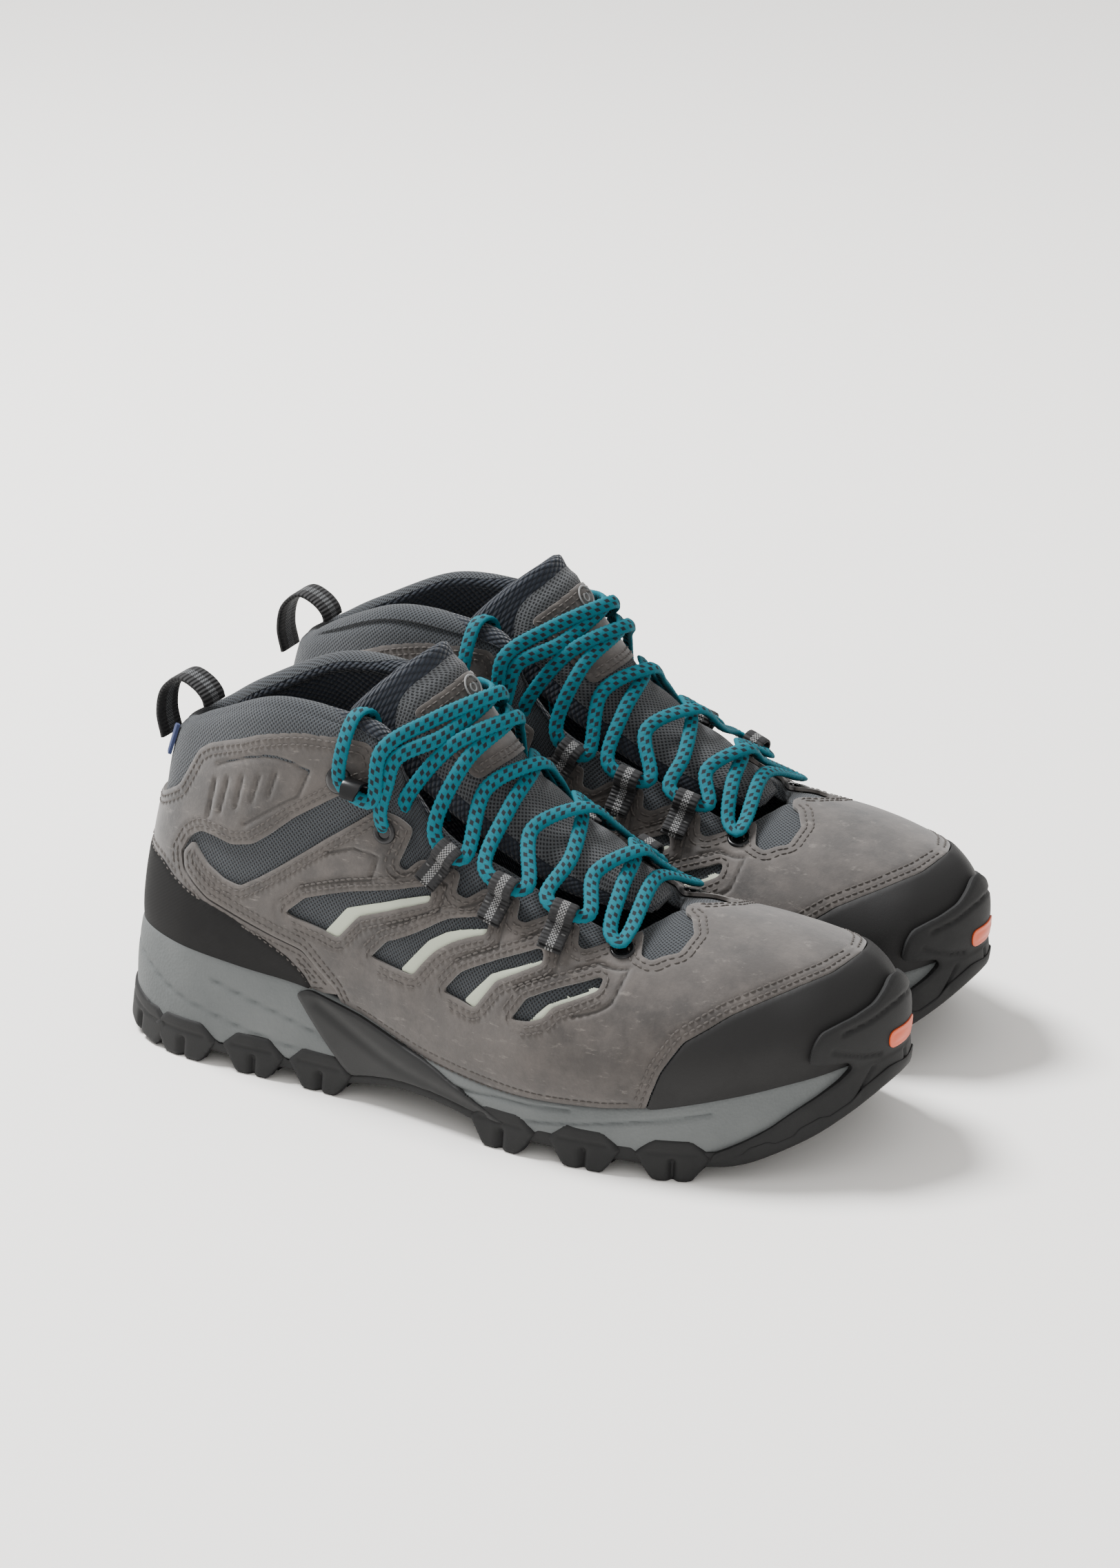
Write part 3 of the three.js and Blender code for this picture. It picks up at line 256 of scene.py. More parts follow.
def make_piece(name, foot, body, points, faces, material, stands_for=(), uv=None, wear_and_groove_shade=None, sharp=45):
    """One closed mesh. Faces are rows of four corners, and a triangle repeats one.

    The sum over the faces of a . (b x c) is six times the volume, so a shape with a negative sum is turned.
    """
    points = np.asarray(points, float).reshape(-1, 3)
    first, back = weld(points)
    corner = back[faces]
    distinct = corner != np.roll(corner, -1, axis=1)
    crossed = (corner[:, 0] == corner[:, 2]) | (corner[:, 1] == corner[:, 3])
    good = (distinct.sum(1) >= 3) & ~crossed
    corner, distinct, source = corner[good], distinct[good], np.asarray(faces)[good]
    at = place(points[first], foot)
    a, b, c, d = [at[corner[:, k]] for k in range(4)]
    volume = np.einsum("ij,ij->", a, np.cross(b, c)) + np.einsum("ij,ij->", a, np.cross(c, d))
    if volume < 0:
        corner, distinct, source = corner[:, ::-1], np.roll(distinct[:, ::-1], -1, axis=1), source[:, ::-1]
        distinct = corner != np.roll(corner, -1, axis=1)
    used, loops = np.unique(corner[distinct], return_inverse=True)
    counts = distinct.sum(1)
    mesh = bpy.data.meshes.new(name)
    mesh.vertices.add(len(used))
    mesh.vertices.foreach_set("co", at[used].ravel())
    mesh.loops.add(len(loops))
    mesh.loops.foreach_set("vertex_index", loops.ravel().astype(np.int32))
    mesh.polygons.add(len(counts))
    mesh.polygons.foreach_set("loop_start", (np.cumsum(counts) - counts).astype(np.int32))
    mesh.polygons.foreach_set("use_smooth", np.ones(len(counts), bool))
    mesh.update(calc_edges=True)
    if uv is not None:
        layer = mesh.uv_layers.new(name="UVMap")
        layer.data.foreach_set("uv", np.asarray(uv, float).reshape(-1, 2)[source[distinct]].ravel())
    # A per-point number that finishes read: wear on leather rims, and where painted shade darkens a groove
    if wear_and_groove_shade is not None:
        layer = mesh.attributes.new("wear_and_groove_shade", "FLOAT", "POINT")
        layer.data.foreach_set("value", np.asarray(wear_and_groove_shade, float).ravel()[first][used])
    mesh.validate()
    mesh.set_sharp_from_angle(angle=np.radians(sharp))
    mesh.materials.append(material)
    piece = bpy.data.objects.new(f"{foot}_{name}", mesh)
    bpy.context.scene.collection.objects.link(piece)
    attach(piece, f"{foot}_{body}")
    if stands_for:
        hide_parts(*[f"{foot}_{node}" for node in stands_for])
    return piece


def cells(rows, columns, wrap=False):
    """The corners of every cell of a grid of points; wrap joins the last column to the first."""
    index = np.arange(rows * columns).reshape(rows, columns)
    if wrap:
        index = np.concatenate([index, index[:, :1]], axis=1)
    return np.stack([index[:-1, :-1], index[1:, :-1], index[1:, 1:], index[:-1, 1:]], -1)


def wall(outer, inner, keep=None):
    """A closed wall: the kept cells of an outer and an inner grid, and a strip along every free edge."""
    rows, columns = outer.shape[:2]
    quads = cells(rows, columns)
    quads = quads.reshape(-1, 4) if keep is None else quads[keep]
    _, same = weld(outer.reshape(-1, 3))
    ends = np.stack([quads, np.roll(quads, -1, axis=1)], -1).reshape(-1, 2)
    count = rows * columns
    a, b = same[ends[:, 0]], same[ends[:, 1]]
    free = ends[~np.isin(a * count + b, b * count + a) & (a != b)]
    rim = np.stack([free[:, 1], free[:, 0], free[:, 0] + count, free[:, 1] + count], 1)
    points = np.concatenate([outer.reshape(-1, 3), inner.reshape(-1, 3)])
    return points, np.concatenate([quads, quads[:, ::-1] + count, rim])


def tube(rings, closed=False):
    """Rings of points joined in order; the first and last ring are closed by a fan to their middle."""
    rings = np.asarray(rings, float)
    count, around = rings.shape[:2]
    if closed:
        quads = cells(count + 1, around, wrap=True).reshape(-1, 4) % (count * around)
        return rings.reshape(-1, 3), quads
    quads = cells(count, around, wrap=True).reshape(-1, 4)
    points = np.concatenate([rings.reshape(-1, 3), rings[:1].mean(1), rings[-1:].mean(1)])
    i = np.arange(around)
    j = (i + 1) % around
    start, end = count * around, count * around + 1
    last = (count - 1) * around
    low = np.stack([np.full(around, start), i, j, j], 1)
    high = np.stack([np.full(around, end), last + j, last + i, last + i], 1)
    return points, np.concatenate([quads, low, high])


def merged(parts):
    """Several closed (points, faces) as one, each facing outwards in the boot's own frame."""
    points, faces, start = [], [], 0
    for p, f in parts:
        points.append(np.asarray(p).reshape(-1, 3))
        a, b, c, d = [points[-1][f[:, k]] for k in range(4)]
        volume = np.einsum("ij,ij->", a, np.cross(b, c)) + np.einsum("ij,ij->", a, np.cross(c, d))
        faces.append((np.asarray(f) if volume > 0 else np.asarray(f)[:, ::-1]) + start)
        start += len(points[-1])
    return np.concatenate(points), np.concatenate(faces)


# Outlines on a surface

def rounded(outline, chart, radius):
    """A closed outline with each corner replaced by a quadratic curve, radius millimetres from the corner."""
    outline = np.asarray(outline, float)
    at = chart(outline[:, 0], outline[:, 1], 0.0)
    arms = []
    for shift in (1, -1):
        other = np.roll(outline, shift, axis=0)
        reach = np.linalg.norm(np.roll(at, shift, axis=0) - at, axis=1)
        share = np.minimum(radius / np.maximum(reach, 1e-6), 0.45)[:, None]
        arms.append(outline + (other - outline) * share)
    u = np.linspace(0, 1, 6)[None, :, None]
    a, b, c = arms[0][:, None], outline[:, None], arms[1][:, None]
    return ((1 - u) ** 2 * a + 2 * u * (1 - u) * b + u * u * c).reshape(-1, 2)


def inside(points, outline):
    """Even-odd test of chart points against a closed outline."""
    near = ((points >= outline.min(0)) & (points <= outline.max(0))).all(1)
    x, y = points[near, 0][:, None], points[near, 1][:, None]
    a, b = outline, np.roll(outline, -1, axis=0)
    rise = np.where(b[:, 1] == a[:, 1], 1e-12, b[:, 1] - a[:, 1])
    across = (a[:, 1] > y) != (b[:, 1] > y)
    cut = a[:, 0] + (y - a[:, 1]) / rise * (b[:, 0] - a[:, 0])
    within = np.zeros(len(points), bool)
    within[near] = (across & (x < cut)).sum(1) % 2 == 1
    return within


BATCH = 24


def segment_distance(points, a, b, reach):
    """Least distance in millimetres from each point to the segments a to b, no more than reach."""
    best = np.full(len(points), float(reach))
    for start in range(0, len(a), BATCH):
        p, q = a[start:start + BATCH], b[start:start + BATCH]
        low, high = np.minimum(p, q).min(0) - reach, np.maximum(p, q).max(0) + reach
        near = (low < points).all(1) & (high > points).all(1)
        some = points[near]
        way = q - p
        share = np.einsum("ijk,jk->ij", some[:, None] - p, way) / np.maximum((way ** 2).sum(1), 1e-12)
        gap = np.linalg.norm(some[:, None] - p - np.clip(share, 0, 1)[..., None] * way, axis=2)
        best[near] = np.minimum(best[near], gap.min(1))
    return best


def outline_distance(chart, outline, s, t, reach=14.0):
    """Distance to the outline's edge, positive inside it. Stretches above the top level are no edge."""
    flat = np.stack([s.ravel(), t.ravel()], -1)
    dense = np.concatenate([a + (b - a) * np.linspace(0, 1, 4)[:-1, None]
                            for a, b in zip(outline, np.roll(outline, -1, axis=0))])
    nxt = np.roll(dense, -1, axis=0)
    real = ~((dense[:, 1] > TOP_LEVEL) & (nxt[:, 1] > TOP_LEVEL)) | (chart is not skin)
    a, b = [chart(p[real][:, 0], p[real][:, 1], 0.0) for p in (dense, nxt)]
    gap = segment_distance(chart(flat[:, 0], flat[:, 1], 0.0), a, b, reach)
    return np.where(inside(flat, outline), gap, -gap).reshape(s.shape)


def line_distance(chart, line, s, t, reach=4.0):
    """Distance to an open line of chart points."""
    line = np.asarray(line, float)
    share = np.linspace(0, 1, 6)[:-1, None]
    dense = np.concatenate([a + (b - a) * share for a, b in zip(line, line[1:])] + [line[-1:]])
    at = chart(dense[:, 0], dense[:, 1], 0.0)
    return segment_distance(chart(s.ravel(), t.ravel(), 0.0), at[:-1], at[1:], reach).reshape(s.shape)


RIM_STEP = 0.7


def cut_grid(s_axis, t_axis, distance):
    """A grid over a chart, kept where the distance is above 0.

    Rim points slide down the distance's slope onto its zero line, in two Newton steps.
    """
    s, t = np.meshgrid(s_axis, t_axis, indexing="ij")
    depth = distance(s, t)
    quads = cells(*s.shape)
    keep = depth.ravel()[quads].mean(-1) > 0
    touched = np.zeros((2, s.size), bool)
    touched[0, quads[keep].ravel()] = True
    touched[1, quads[~keep].ravel()] = True
    rim = (touched[0] & touched[1]).reshape(s.shape)
    for _ in range(2):
        step_s, step_t = np.gradient(depth)
        size = np.maximum(step_s ** 2 + step_t ** 2, 1e-6)
        move = np.where(rim, -depth / size, 0)
        s = s + np.clip(move * step_s, -RIM_STEP, RIM_STEP) * np.gradient(s_axis)[:, None]
        t = t + np.clip(move * step_t, -RIM_STEP, RIM_STEP) * np.gradient(t_axis)[None, :]
        depth = distance(s, t)
    depth = np.where(rim, 0, depth)
    return s, t, depth, keep


# Camera, floor and light

CAMERA_AT = (859.67, 1345.06, 701.94)
CAMERA_AZIMUTH, CAMERA_ELEVATION = np.radians(27.10), np.radians(21.09)
LENS, SENSOR = 103.65, 36
LIGHT_AIM = (0, 0, 0.05)
FLOOR_HALF = 7.0


def add_camera():
    """Looks down at the pair from in front of its outer side, with no roll and no shift."""
    data = bpy.data.cameras.new("camera")
    data.lens, data.sensor_width = LENS, SENSOR
    data.clip_start, data.clip_end = 0.05, 20
    camera = bpy.data.objects.new("camera", data)
    bpy.context.scene.collection.objects.link(camera)
    camera.location = place(CAMERA_AT, "right")
    cos, sin = np.cos(CAMERA_ELEVATION), np.sin(CAMERA_ELEVATION)
    back = Vector((np.sin(CAMERA_AZIMUTH) * cos, -np.cos(CAMERA_AZIMUTH) * cos, sin))
    camera.rotation_mode = "QUATERNION"
    camera.rotation_quaternion = (-back).to_track_quat("-Z", "Y")
    bpy.context.scene.camera = camera


def add_light(name, at, size, power):
    """A round soft light that faces the boots."""
    data = bpy.data.lights.new(name, "AREA")
    data.shape, data.size, data.energy = "DISK", size, power
    light = bpy.data.objects.new(name, data)
    bpy.context.scene.collection.objects.link(light)
    light.location = at
    light.rotation_mode = "QUATERNION"
    light.rotation_quaternion = (Vector(LIGHT_AIM) - Vector(at)).to_track_quat("-Z", "Y")


def add_stage():
    """A pale floor, a soft light from behind and above, a weak fill in front, and an even pale sky."""
    ends = (-FLOOR_HALF, FLOOR_HALF)
    corners = [(x, y, 0) for x in ends for y in ends]
    mesh = bpy.data.meshes.new("floor")
    mesh.from_pydata(corners, [], [(0, 2, 3, 1)])
    mesh.materials.append(floor_finish())
    floor = bpy.data.objects.new("floor", mesh)
    bpy.context.scene.collection.objects.link(floor)
    add_light("key", (-1.3, 0.1, 2.3), 0.9, 165)
    add_light("fill", (1.4, -2.4, 1.0), 1.6, 9)
    world = bpy.data.worlds.new("sky")
    bpy.context.scene.world = world
    world.use_nodes = True
    background = world.node_tree.nodes["Background"]
    background.inputs["Color"].default_value = (1.0, 0.985, 0.965, 1)
    background.inputs["Strength"].default_value = 1.0


# Finishes

class Finish:
    """A material under construction: its nodes, its shader, and short ways to add and join nodes."""

    def __init__(self, name, **shader):
        self.material = bpy.data.materials.new(name)
        self.material.use_nodes = True
        self.tree = self.material.node_tree
        self.shader = self.tree.nodes["Principled BSDF"]
        for key, value in shader.items():
            self.shader.inputs[key.replace("_", " ")].default_value = value

    def node(self, kind, inputs=(), **settings):
        """A node of that kind, each input set to a number or joined to a socket."""
        made = self.tree.nodes.new(kind)
        for key, value in settings.items():
            setattr(made, key, value)
        for key, value in dict(inputs).items():
            if isinstance(value, bpy.types.NodeSocket):
                self.tree.links.new(value, made.inputs[key])
            else:
                made.inputs[key].default_value = value
        return made

    def join(self, socket, name):
        """Feeds the shader's input of that name."""
        self.tree.links.new(socket, self.shader.inputs[name])

    def place(self, source="Object"):
        """Metres on the boot, or the cloth's own millimetres when the source is its UV."""
        return self.node("ShaderNodeTexCoord").outputs[source]

    def scaled(self, vector, scale, turn=0.0):
        """The place stretched by the scale and turned about z."""
        spread = self.node("ShaderNodeMapping", {"Vector": vector, "Scale": scale, "Rotation": (0, 0, turn)})
        return spread.outputs["Vector"]

    def noise(self, vector, scale, detail=4, roughness=0.55):
        """Clouds from 0 to 1, so many to a unit of the place."""
        ends = {"Vector": vector, "Scale": scale, "Detail": detail, "Roughness": roughness}
        return self.node("ShaderNodeTexNoise", ends).outputs["Fac"]

    def cells(self, vector, scale, randomness=1.0):
        """The distance to the nearest of the points scattered over the place."""
        ends = {"Vector": vector, "Scale": scale, "Randomness": randomness}
        return self.node("ShaderNodeTexVoronoi", ends).outputs["Distance"]

    def fit(self, value, low, high, to_low=0.0, to_high=1.0):
        """The straight line through (low, to_low) and (high, to_high), held beyond them."""
        ends = {"Value": value, "From Min": low, "From Max": high, "To Min": to_low, "To Max": to_high}
        return self.node("ShaderNodeMapRange", ends).outputs["Result"]

    def maths(self, operation, a, b=0.0):
        """One sum on two numbers or sockets."""
        return self.node("ShaderNodeMath", {0: a, 1: b}, operation=operation).outputs[0]

    def blend(self, share, a, b):
        """Colour a where the share is 0, b where it is 1."""
        made = self.node("ShaderNodeMix", data_type="RGBA")
        for index, value in ((0, share), (6, a), (7, b)):
            if isinstance(value, bpy.types.NodeSocket):
                self.tree.links.new(value, made.inputs[index])
            else:
                made.inputs[index].default_value = value if index == 0 else (*value, 1)
        return made.outputs[2]

    def bump(self, height, depth, strength=1.0, under=None):
        """A height from 0 to 1, depth metres deep, laid over another bump."""
        inputs = {"Height": height, "Distance": depth, "Strength": strength}
        if under is not None:
            inputs["Normal"] = under
        return self.node("ShaderNodeBump", inputs).outputs["Normal"]


def floor_finish():
    """Pale paper, one even tone with a faint cloud."""
    finish = Finish("pale_floor", Base_Color=(0.80, 0.785, 0.755, 1), Roughness=0.9)
    speck = finish.noise(finish.place(), 3, 2)
    finish.join(finish.blend(speck, (0.925, 0.908, 0.880), (0.94, 0.923, 0.895)), "Base Color")
    return finish.material


def nubuck():
    """Brushed leather: broad clouds, short pale scuffs, fine nap, paler rims from wear, and painted shade
    darkening its pressed grooves.
    """
    finish = Finish("nubuck", Roughness=0.82, Specular_IOR_Level=0.25, Sheen_Weight=0.25, Sheen_Roughness=0.6)
    at = finish.place()
    clouds = finish.fit(finish.noise(at, 22, 5, 0.6), 0.3, 0.7)
    patches = finish.fit(finish.noise(at, 62, 7, 0.72), 0.42, 0.66)
    nap = finish.noise(at, 900, 3, 0.7)
    scuffs = finish.fit(finish.noise(finish.scaled(at, (60, 60, 230)), 2.2, 8, 0.72), 0.58, 0.8)
    # The attribute holds the depth inside the cut edge, for the wear on the rims, and a negative value in a
    # pressed groove, for the painted shade there
    edge = finish.node("ShaderNodeAttribute", attribute_name="wear_and_groove_shade").outputs["Fac"]
    rim = finish.fit(edge, 0.0, 1.5, 0.3, 0.0)
    pressed = finish.fit(edge, -1.0, -0.15, 0.75, 0.0)
    colour = finish.blend(clouds, (0.019, 0.0168, 0.016), (0.064, 0.056, 0.0515))
    colour = finish.blend(finish.maths("MULTIPLY", patches, 0.65), colour, (0.092, 0.079, 0.0715))
    colour = finish.blend(finish.maths("MULTIPLY", scuffs, 0.85), colour, (0.20, 0.178, 0.16))
    colour = finish.blend(rim, colour, (0.105, 0.092, 0.083))
    # Painted shade: the pressed grooves are coloured nearly black, as the shade that falls in them
    colour = finish.blend(pressed, colour, (0.016, 0.0145, 0.014))
    colour = finish.blend(finish.fit(nap, 0.35, 0.75, 0.0, 0.28), colour, (0.045, 0.038, 0.035))
    finish.join(colour, "Base Color")
    finish.join(finish.fit(clouds, 0, 1, 0.74, 0.92), "Roughness")
    grain = finish.bump(nap, 0.00012, 0.6)
    finish.join(finish.bump(finish.noise(at, 260, 4, 0.6), 0.0003, 0.5, grain), "Normal")
    return finish.material


def open_mesh(name, light, dark, pitch=1.25):
    """Woven mesh: rows of small dark holes set on the diagonal, in the cloth's own millimetres."""
    finish = Finish(name, Roughness=0.85, Specular_IOR_Level=0.3, Sheen_Weight=0.15)
    cloth = finish.place("UV")
    turned = finish.scaled(cloth, (1 / pitch, 1 / pitch, 1), np.radians(45))
    gap = finish.cells(turned, 1.0, 0.0)
    hole = finish.fit(gap, 0.22, 0.42, 1.0, 0.0)
    thread = finish.noise(finish.scaled(cloth, (6, 6, 1)), 1.0, 2)
    shade = finish.fit(finish.noise(cloth, 0.08, 3), 0.3, 0.7, 0.0, 1.0)
    body = finish.blend(shade, light, tuple(0.82 * v for v in light))
    body = finish.blend(finish.fit(thread, 0.35, 0.7, 0.0, 0.35), body, tuple(1.35 * v for v in light))
    finish.join(finish.blend(hole, body, dark), "Base Color")
    height = finish.maths("SUBTRACT", finish.maths("MULTIPLY", thread, 0.3), hole)
    finish.join(finish.bump(height, 0.0005, 0.9), "Normal")
    return finish.material


def waffle_knit():
    """Navy knit with plump cells in slanting rows, and painted shade in the hollows between them."""
    finish = Finish("navy_knit", Roughness=0.95, Specular_IOR_Level=0.15, Sheen_Weight=0.2,
                    Sheen_Roughness=0.5)
    cloth = finish.place("UV")
    gap = finish.cells(finish.scaled(cloth, (0.46, 0.62, 1), np.radians(38)), 1.0, 0.12)
    fine = finish.noise(finish.scaled(cloth, (5, 5, 1)), 1.0, 3)
    plump = finish.fit(gap, 0.12, 0.62, 1.0, 0.0)
    # Painted shade: the colour darkens from the plump middle of each cell into the hollows between the cells
    colour = finish.blend(plump, (0.0045, 0.0055, 0.0085), (0.017, 0.022, 0.032))
    yarn = finish.fit(fine, 0.4, 0.75, 0.0, 0.4)
    finish.join(finish.blend(yarn, colour, (0.03, 0.038, 0.05)), "Base Color")
    soft = finish.bump(fine, 0.00015, 0.5)
    finish.join(finish.bump(plump, 0.0009, 0.8, soft), "Normal")
    return finish.material


def moulded_rubber(name, colour, roughness=0.55, grain=0.00005):
    """Moulded rubber with a faint pebble and a few dusty patches."""
    finish = Finish(name, Roughness=roughness, Specular_IOR_Level=0.3)
    at = finish.place()
    dust = finish.fit(finish.noise(at, 35, 6, 0.65), 0.45, 0.8, 0.0, 0.35)
    finish.join(finish.blend(dust, colour, tuple(v * 1.5 + 0.003 for v in colour)), "Base Color")
    finish.join(finish.fit(dust, 0, 0.35, roughness, roughness + 0.2), "Roughness")
    finish.join(finish.bump(finish.noise(at, 1500, 2), grain, 0.6), "Normal")
    return finish.material


def ribbed_rubber(name, colour):
    """Matte rubber film pressed with a fine slanting rib."""
    finish = Finish(name, Roughness=0.8, Specular_IOR_Level=0.2)
    at = finish.place()
    slanted = finish.node("ShaderNodeMapping", {"Vector": at, "Rotation": (0, np.radians(35), 0)})
    ends = {"Vector": slanted.outputs["Vector"], "Scale": 280.0, "Distortion": 0.6}
    rib = finish.node("ShaderNodeTexWave", ends, bands_direction="Z")
    dust = finish.fit(finish.noise(at, 60, 6, 0.7), 0.5, 0.85, 0.0, 0.4)
    finish.join(finish.blend(dust, colour, tuple(v * 1.7 + 0.004 for v in colour)), "Base Color")
    fine = finish.bump(finish.noise(at, 1300, 2), 0.00005, 0.7)
    finish.join(finish.bump(rib.outputs["Fac"], 0.00008, 0.4, fine), "Normal")
    return finish.material


def sole_foam():
    """Grey moulded foam: an even colour with a fine pebble, and painted shade darkening the side grooves."""
    finish = Finish("sole_foam", Roughness=0.78, Specular_IOR_Level=0.3)
    at = finish.place()
    pebble = finish.cells(at, 900)
    shade = finish.fit(finish.noise(at, 30, 4), 0.35, 0.7)
    # The attribute is how deep a point lies in a side groove; the colour darkens there as painted shade
    pressed = finish.node("ShaderNodeAttribute", attribute_name="wear_and_groove_shade").outputs["Fac"]
    groove = finish.fit(pressed, 0.0, 1.0, 0.0, 0.5)
    colour = finish.blend(shade, (0.088, 0.095, 0.096), (0.110, 0.117, 0.117))
    finish.join(finish.blend(groove, colour, (0.07, 0.078, 0.08)), "Base Color")
    finish.join(finish.bump(pebble, 0.00018, 0.7), "Normal")
    return finish.material


LACE_FACE = 7
FLECK_PITCH = 3.9
RIB_PITCH = 1.5


def braid():
    """Teal lace with dark flecks in two rows.

    u runs along it and v round it, in millimetres. A fleck is dark where the fraction of
    (u + slant * v) / pitch, plus a half on the second row, is small and v is near its row.
    """
    finish = Finish("lace_braid", Roughness=0.72, Specular_IOR_Level=0.2)
    cloth = finish.place("UV")
    split = finish.node("ShaderNodeSeparateXYZ", {"Vector": cloth})
    along_lace, across = split.outputs["X"], split.outputs["Y"]
    off = finish.maths("SUBTRACT", across, LACE_FACE / 2)
    row = finish.maths("GREATER_THAN", off, 0.0)
    slant = finish.maths("MULTIPLY", off, 0.55)
    step = finish.maths("ADD", finish.maths("DIVIDE", finish.maths("ADD", along_lace, slant), FLECK_PITCH),
                        finish.maths("MULTIPLY", row, 0.5))
    dash = finish.fit(finish.maths("FRACT", step), 0.40, 0.48, 1.0, 0.0)
    from_row = finish.maths("ABSOLUTE", finish.maths("SUBTRACT", finish.maths("ABSOLUTE", off), 0.85))
    fleck = finish.maths("MULTIPLY", dash, finish.fit(from_row, 0.55, 0.75, 1.0, 0.0))
    tone = finish.fit(finish.noise(finish.scaled(cloth, (3, 5, 1)), 1.0, 3), 0.3, 0.75)
    colour = finish.blend(tone, (0.0, 0.070, 0.098), (0.0, 0.140, 0.182))
    finish.join(finish.blend(fleck, colour, (0.006, 0.010, 0.014)), "Base Color")
    finish.join(finish.bump(finish.noise(finish.scaled(cloth, (4, 8, 1)), 1.0, 3), 0.0002, 0.6), "Normal")
    return finish.material


def webbing(name, stripe, half_stripe, width):
    """Black webbing with a sine rib along it and a paler checked stripe down the middle of its width."""
    finish = Finish(name, Roughness=0.75, Specular_IOR_Level=0.35)
    cloth = finish.place("UV")
    split = finish.node("ShaderNodeSeparateXYZ", {"Vector": cloth})
    off = finish.maths("ABSOLUTE", finish.maths("SUBTRACT", split.outputs["Y"], width / 2))
    middle = finish.fit(off, half_stripe - 0.15, half_stripe + 0.15, 1.0, 0.0)
    check = finish.node("ShaderNodeTexChecker", {"Vector": cloth, "Scale": 1.7, "Color1": (*stripe, 1),
                                                 "Color2": (0.012, 0.012, 0.013, 1)})
    finish.join(finish.blend(middle, (0.011, 0.011, 0.012), check.outputs["Color"]), "Base Color")
    rib = finish.maths("SINE", finish.maths("MULTIPLY", split.outputs["X"], 2 * np.pi / RIB_PITCH))
    yarn = finish.noise(finish.scaled(cloth, (2, 6, 1)), 1.0, 2)
    finish.join(finish.bump(finish.maths("ADD", rib, yarn), 0.00025, 0.8), "Normal")
    return finish.material


def plain_finish(name, colour, roughness, grain=400, depth=0.00006, **shader):
    """One colour with a little cloud in it and a fine grain."""
    finish = Finish(name, Roughness=roughness, **shader)
    at = finish.place()
    cloud = finish.noise(at, 40, 4)
    dark, light = [tuple(share * v for v in colour) for share in (0.85, 1.15)]
    finish.join(finish.blend(cloud, dark, light), "Base Color")
    finish.join(finish.bump(finish.noise(at, grain, 3), depth, 0.5), "Normal")
    return finish.material


# Shared shapes

INNER_DEPTH = MESH_WALL + FIT + FIT + LINING_WALL
COLLAR_FRONT = 5


def pad_depth(s, t):
    """The padding between mesh and lining: thin low down and in front, full round the collar."""
    rear = 1 - smooth(np.abs(s), COLLAR_FRONT - 1, COLLAR_FRONT + 0.6)
    return STIFFENER + (COLLAR_PAD - STIFFENER) * smooth(t, 3.4, 4.6) * rear


def even_steps(marks, points, step):
    """The marks of a line of points, read again at equal distances of about one step."""
    run = lengths(points)
    count = int(np.ceil(run[-1] / step)) + 1
    return np.interp(np.linspace(0, run[-1], count), run, marks)


def even_axis(chart, low, high, t, step):
    """Chart positions from low to high, about one step in millimetres apart on the line at t."""
    fine = np.linspace(low, high, 600)
    return even_steps(fine, chart(fine, np.full(600, float(t)), 0.0), step)


def even_levels(chart, s, low, high, step):
    """Levels from low to high at s, about one step in millimetres apart."""
    fine = np.linspace(low, high, 300)
    return even_steps(fine, chart(np.full(300, float(s)), fine, 0.0), step)


def cloth_uv(points):
    """Millimetres along the rows and along the columns of a grid of points, from its first row and column."""
    across = np.linalg.norm(np.diff(points, axis=0), axis=2).mean(1)
    u = np.concatenate([[0], np.cumsum(across)])[:, None] * np.ones(points.shape[1])
    up = np.linalg.norm(np.diff(points, axis=1), axis=2)
    v = np.concatenate([np.zeros((len(points), 1)), np.cumsum(up, axis=1)], axis=1)
    return np.stack([u, v], -1)


def mirrored(outline):
    """The same line on the other side of the heel, run the other way."""
    return [(-s, t) for s, t in reversed(outline)]


def past_toe(outline):
    """The same line on the other side of the toe, run the other way."""
    return [(ROUND - s, t) for s, t in reversed(outline)]


def edge_shape(depth, radius=1.6, cut=0.78):
    """A cut edge: the share cut at once, and the rest up a quarter circle within the radius."""
    u = np.clip(depth / radius, 0, 1)
    return cut + (1 - cut) * np.sqrt(1 - (1 - u) ** 2)


def beside(chart, s, t):
    """The chart's slopes along a closed line of points on it, and the unit direction across that line."""
    step = 0.01
    d_s = (chart(s + step, t, 0.0) - chart(s - step, t, 0.0)) / (2 * step)
    d_t = (chart(s, t + step, 0.0) - chart(s, t - step, 0.0)) / (2 * step)
    points = chart(s, t, 0.0)
    tangent = unit(np.roll(points, -1, axis=0) - np.roll(points, 1, axis=0))
    return d_s, d_t, np.cross(unit(np.cross(d_s, d_t)), tangent)


def inset(chart, outline, depth):
    """The closed line that runs the given depth inside an outline, and where it is far enough from it."""
    closed = np.concatenate([outline, outline[:1]])
    at = chart(closed[:, 0], closed[:, 1], 0.0)
    run = lengths(at)
    marks = np.arange(0, run[-1], 0.65)
    s, t = np.interp(marks, run, closed[:, 0]), np.interp(marks, run, closed[:, 1])
    d_s, d_t, across = beside(chart, s, t)
    way = across * depth
    probe = solve_chart(d_s, d_t, across * 0.3)
    if inside(np.stack([s, t], -1) + probe, outline).mean() < 0.5:
        way = -way
    flat = np.stack([s, t], -1) + solve_chart(d_s, d_t, way)
    gap = outline_distance(chart, outline, flat[:, 0], flat[:, 1], depth + 3)
    good = (gap > depth * 0.85) & (flat[:, 1] < TOP_LEVEL - 0.02) & (t < TOP_LEVEL)
    return flat, good


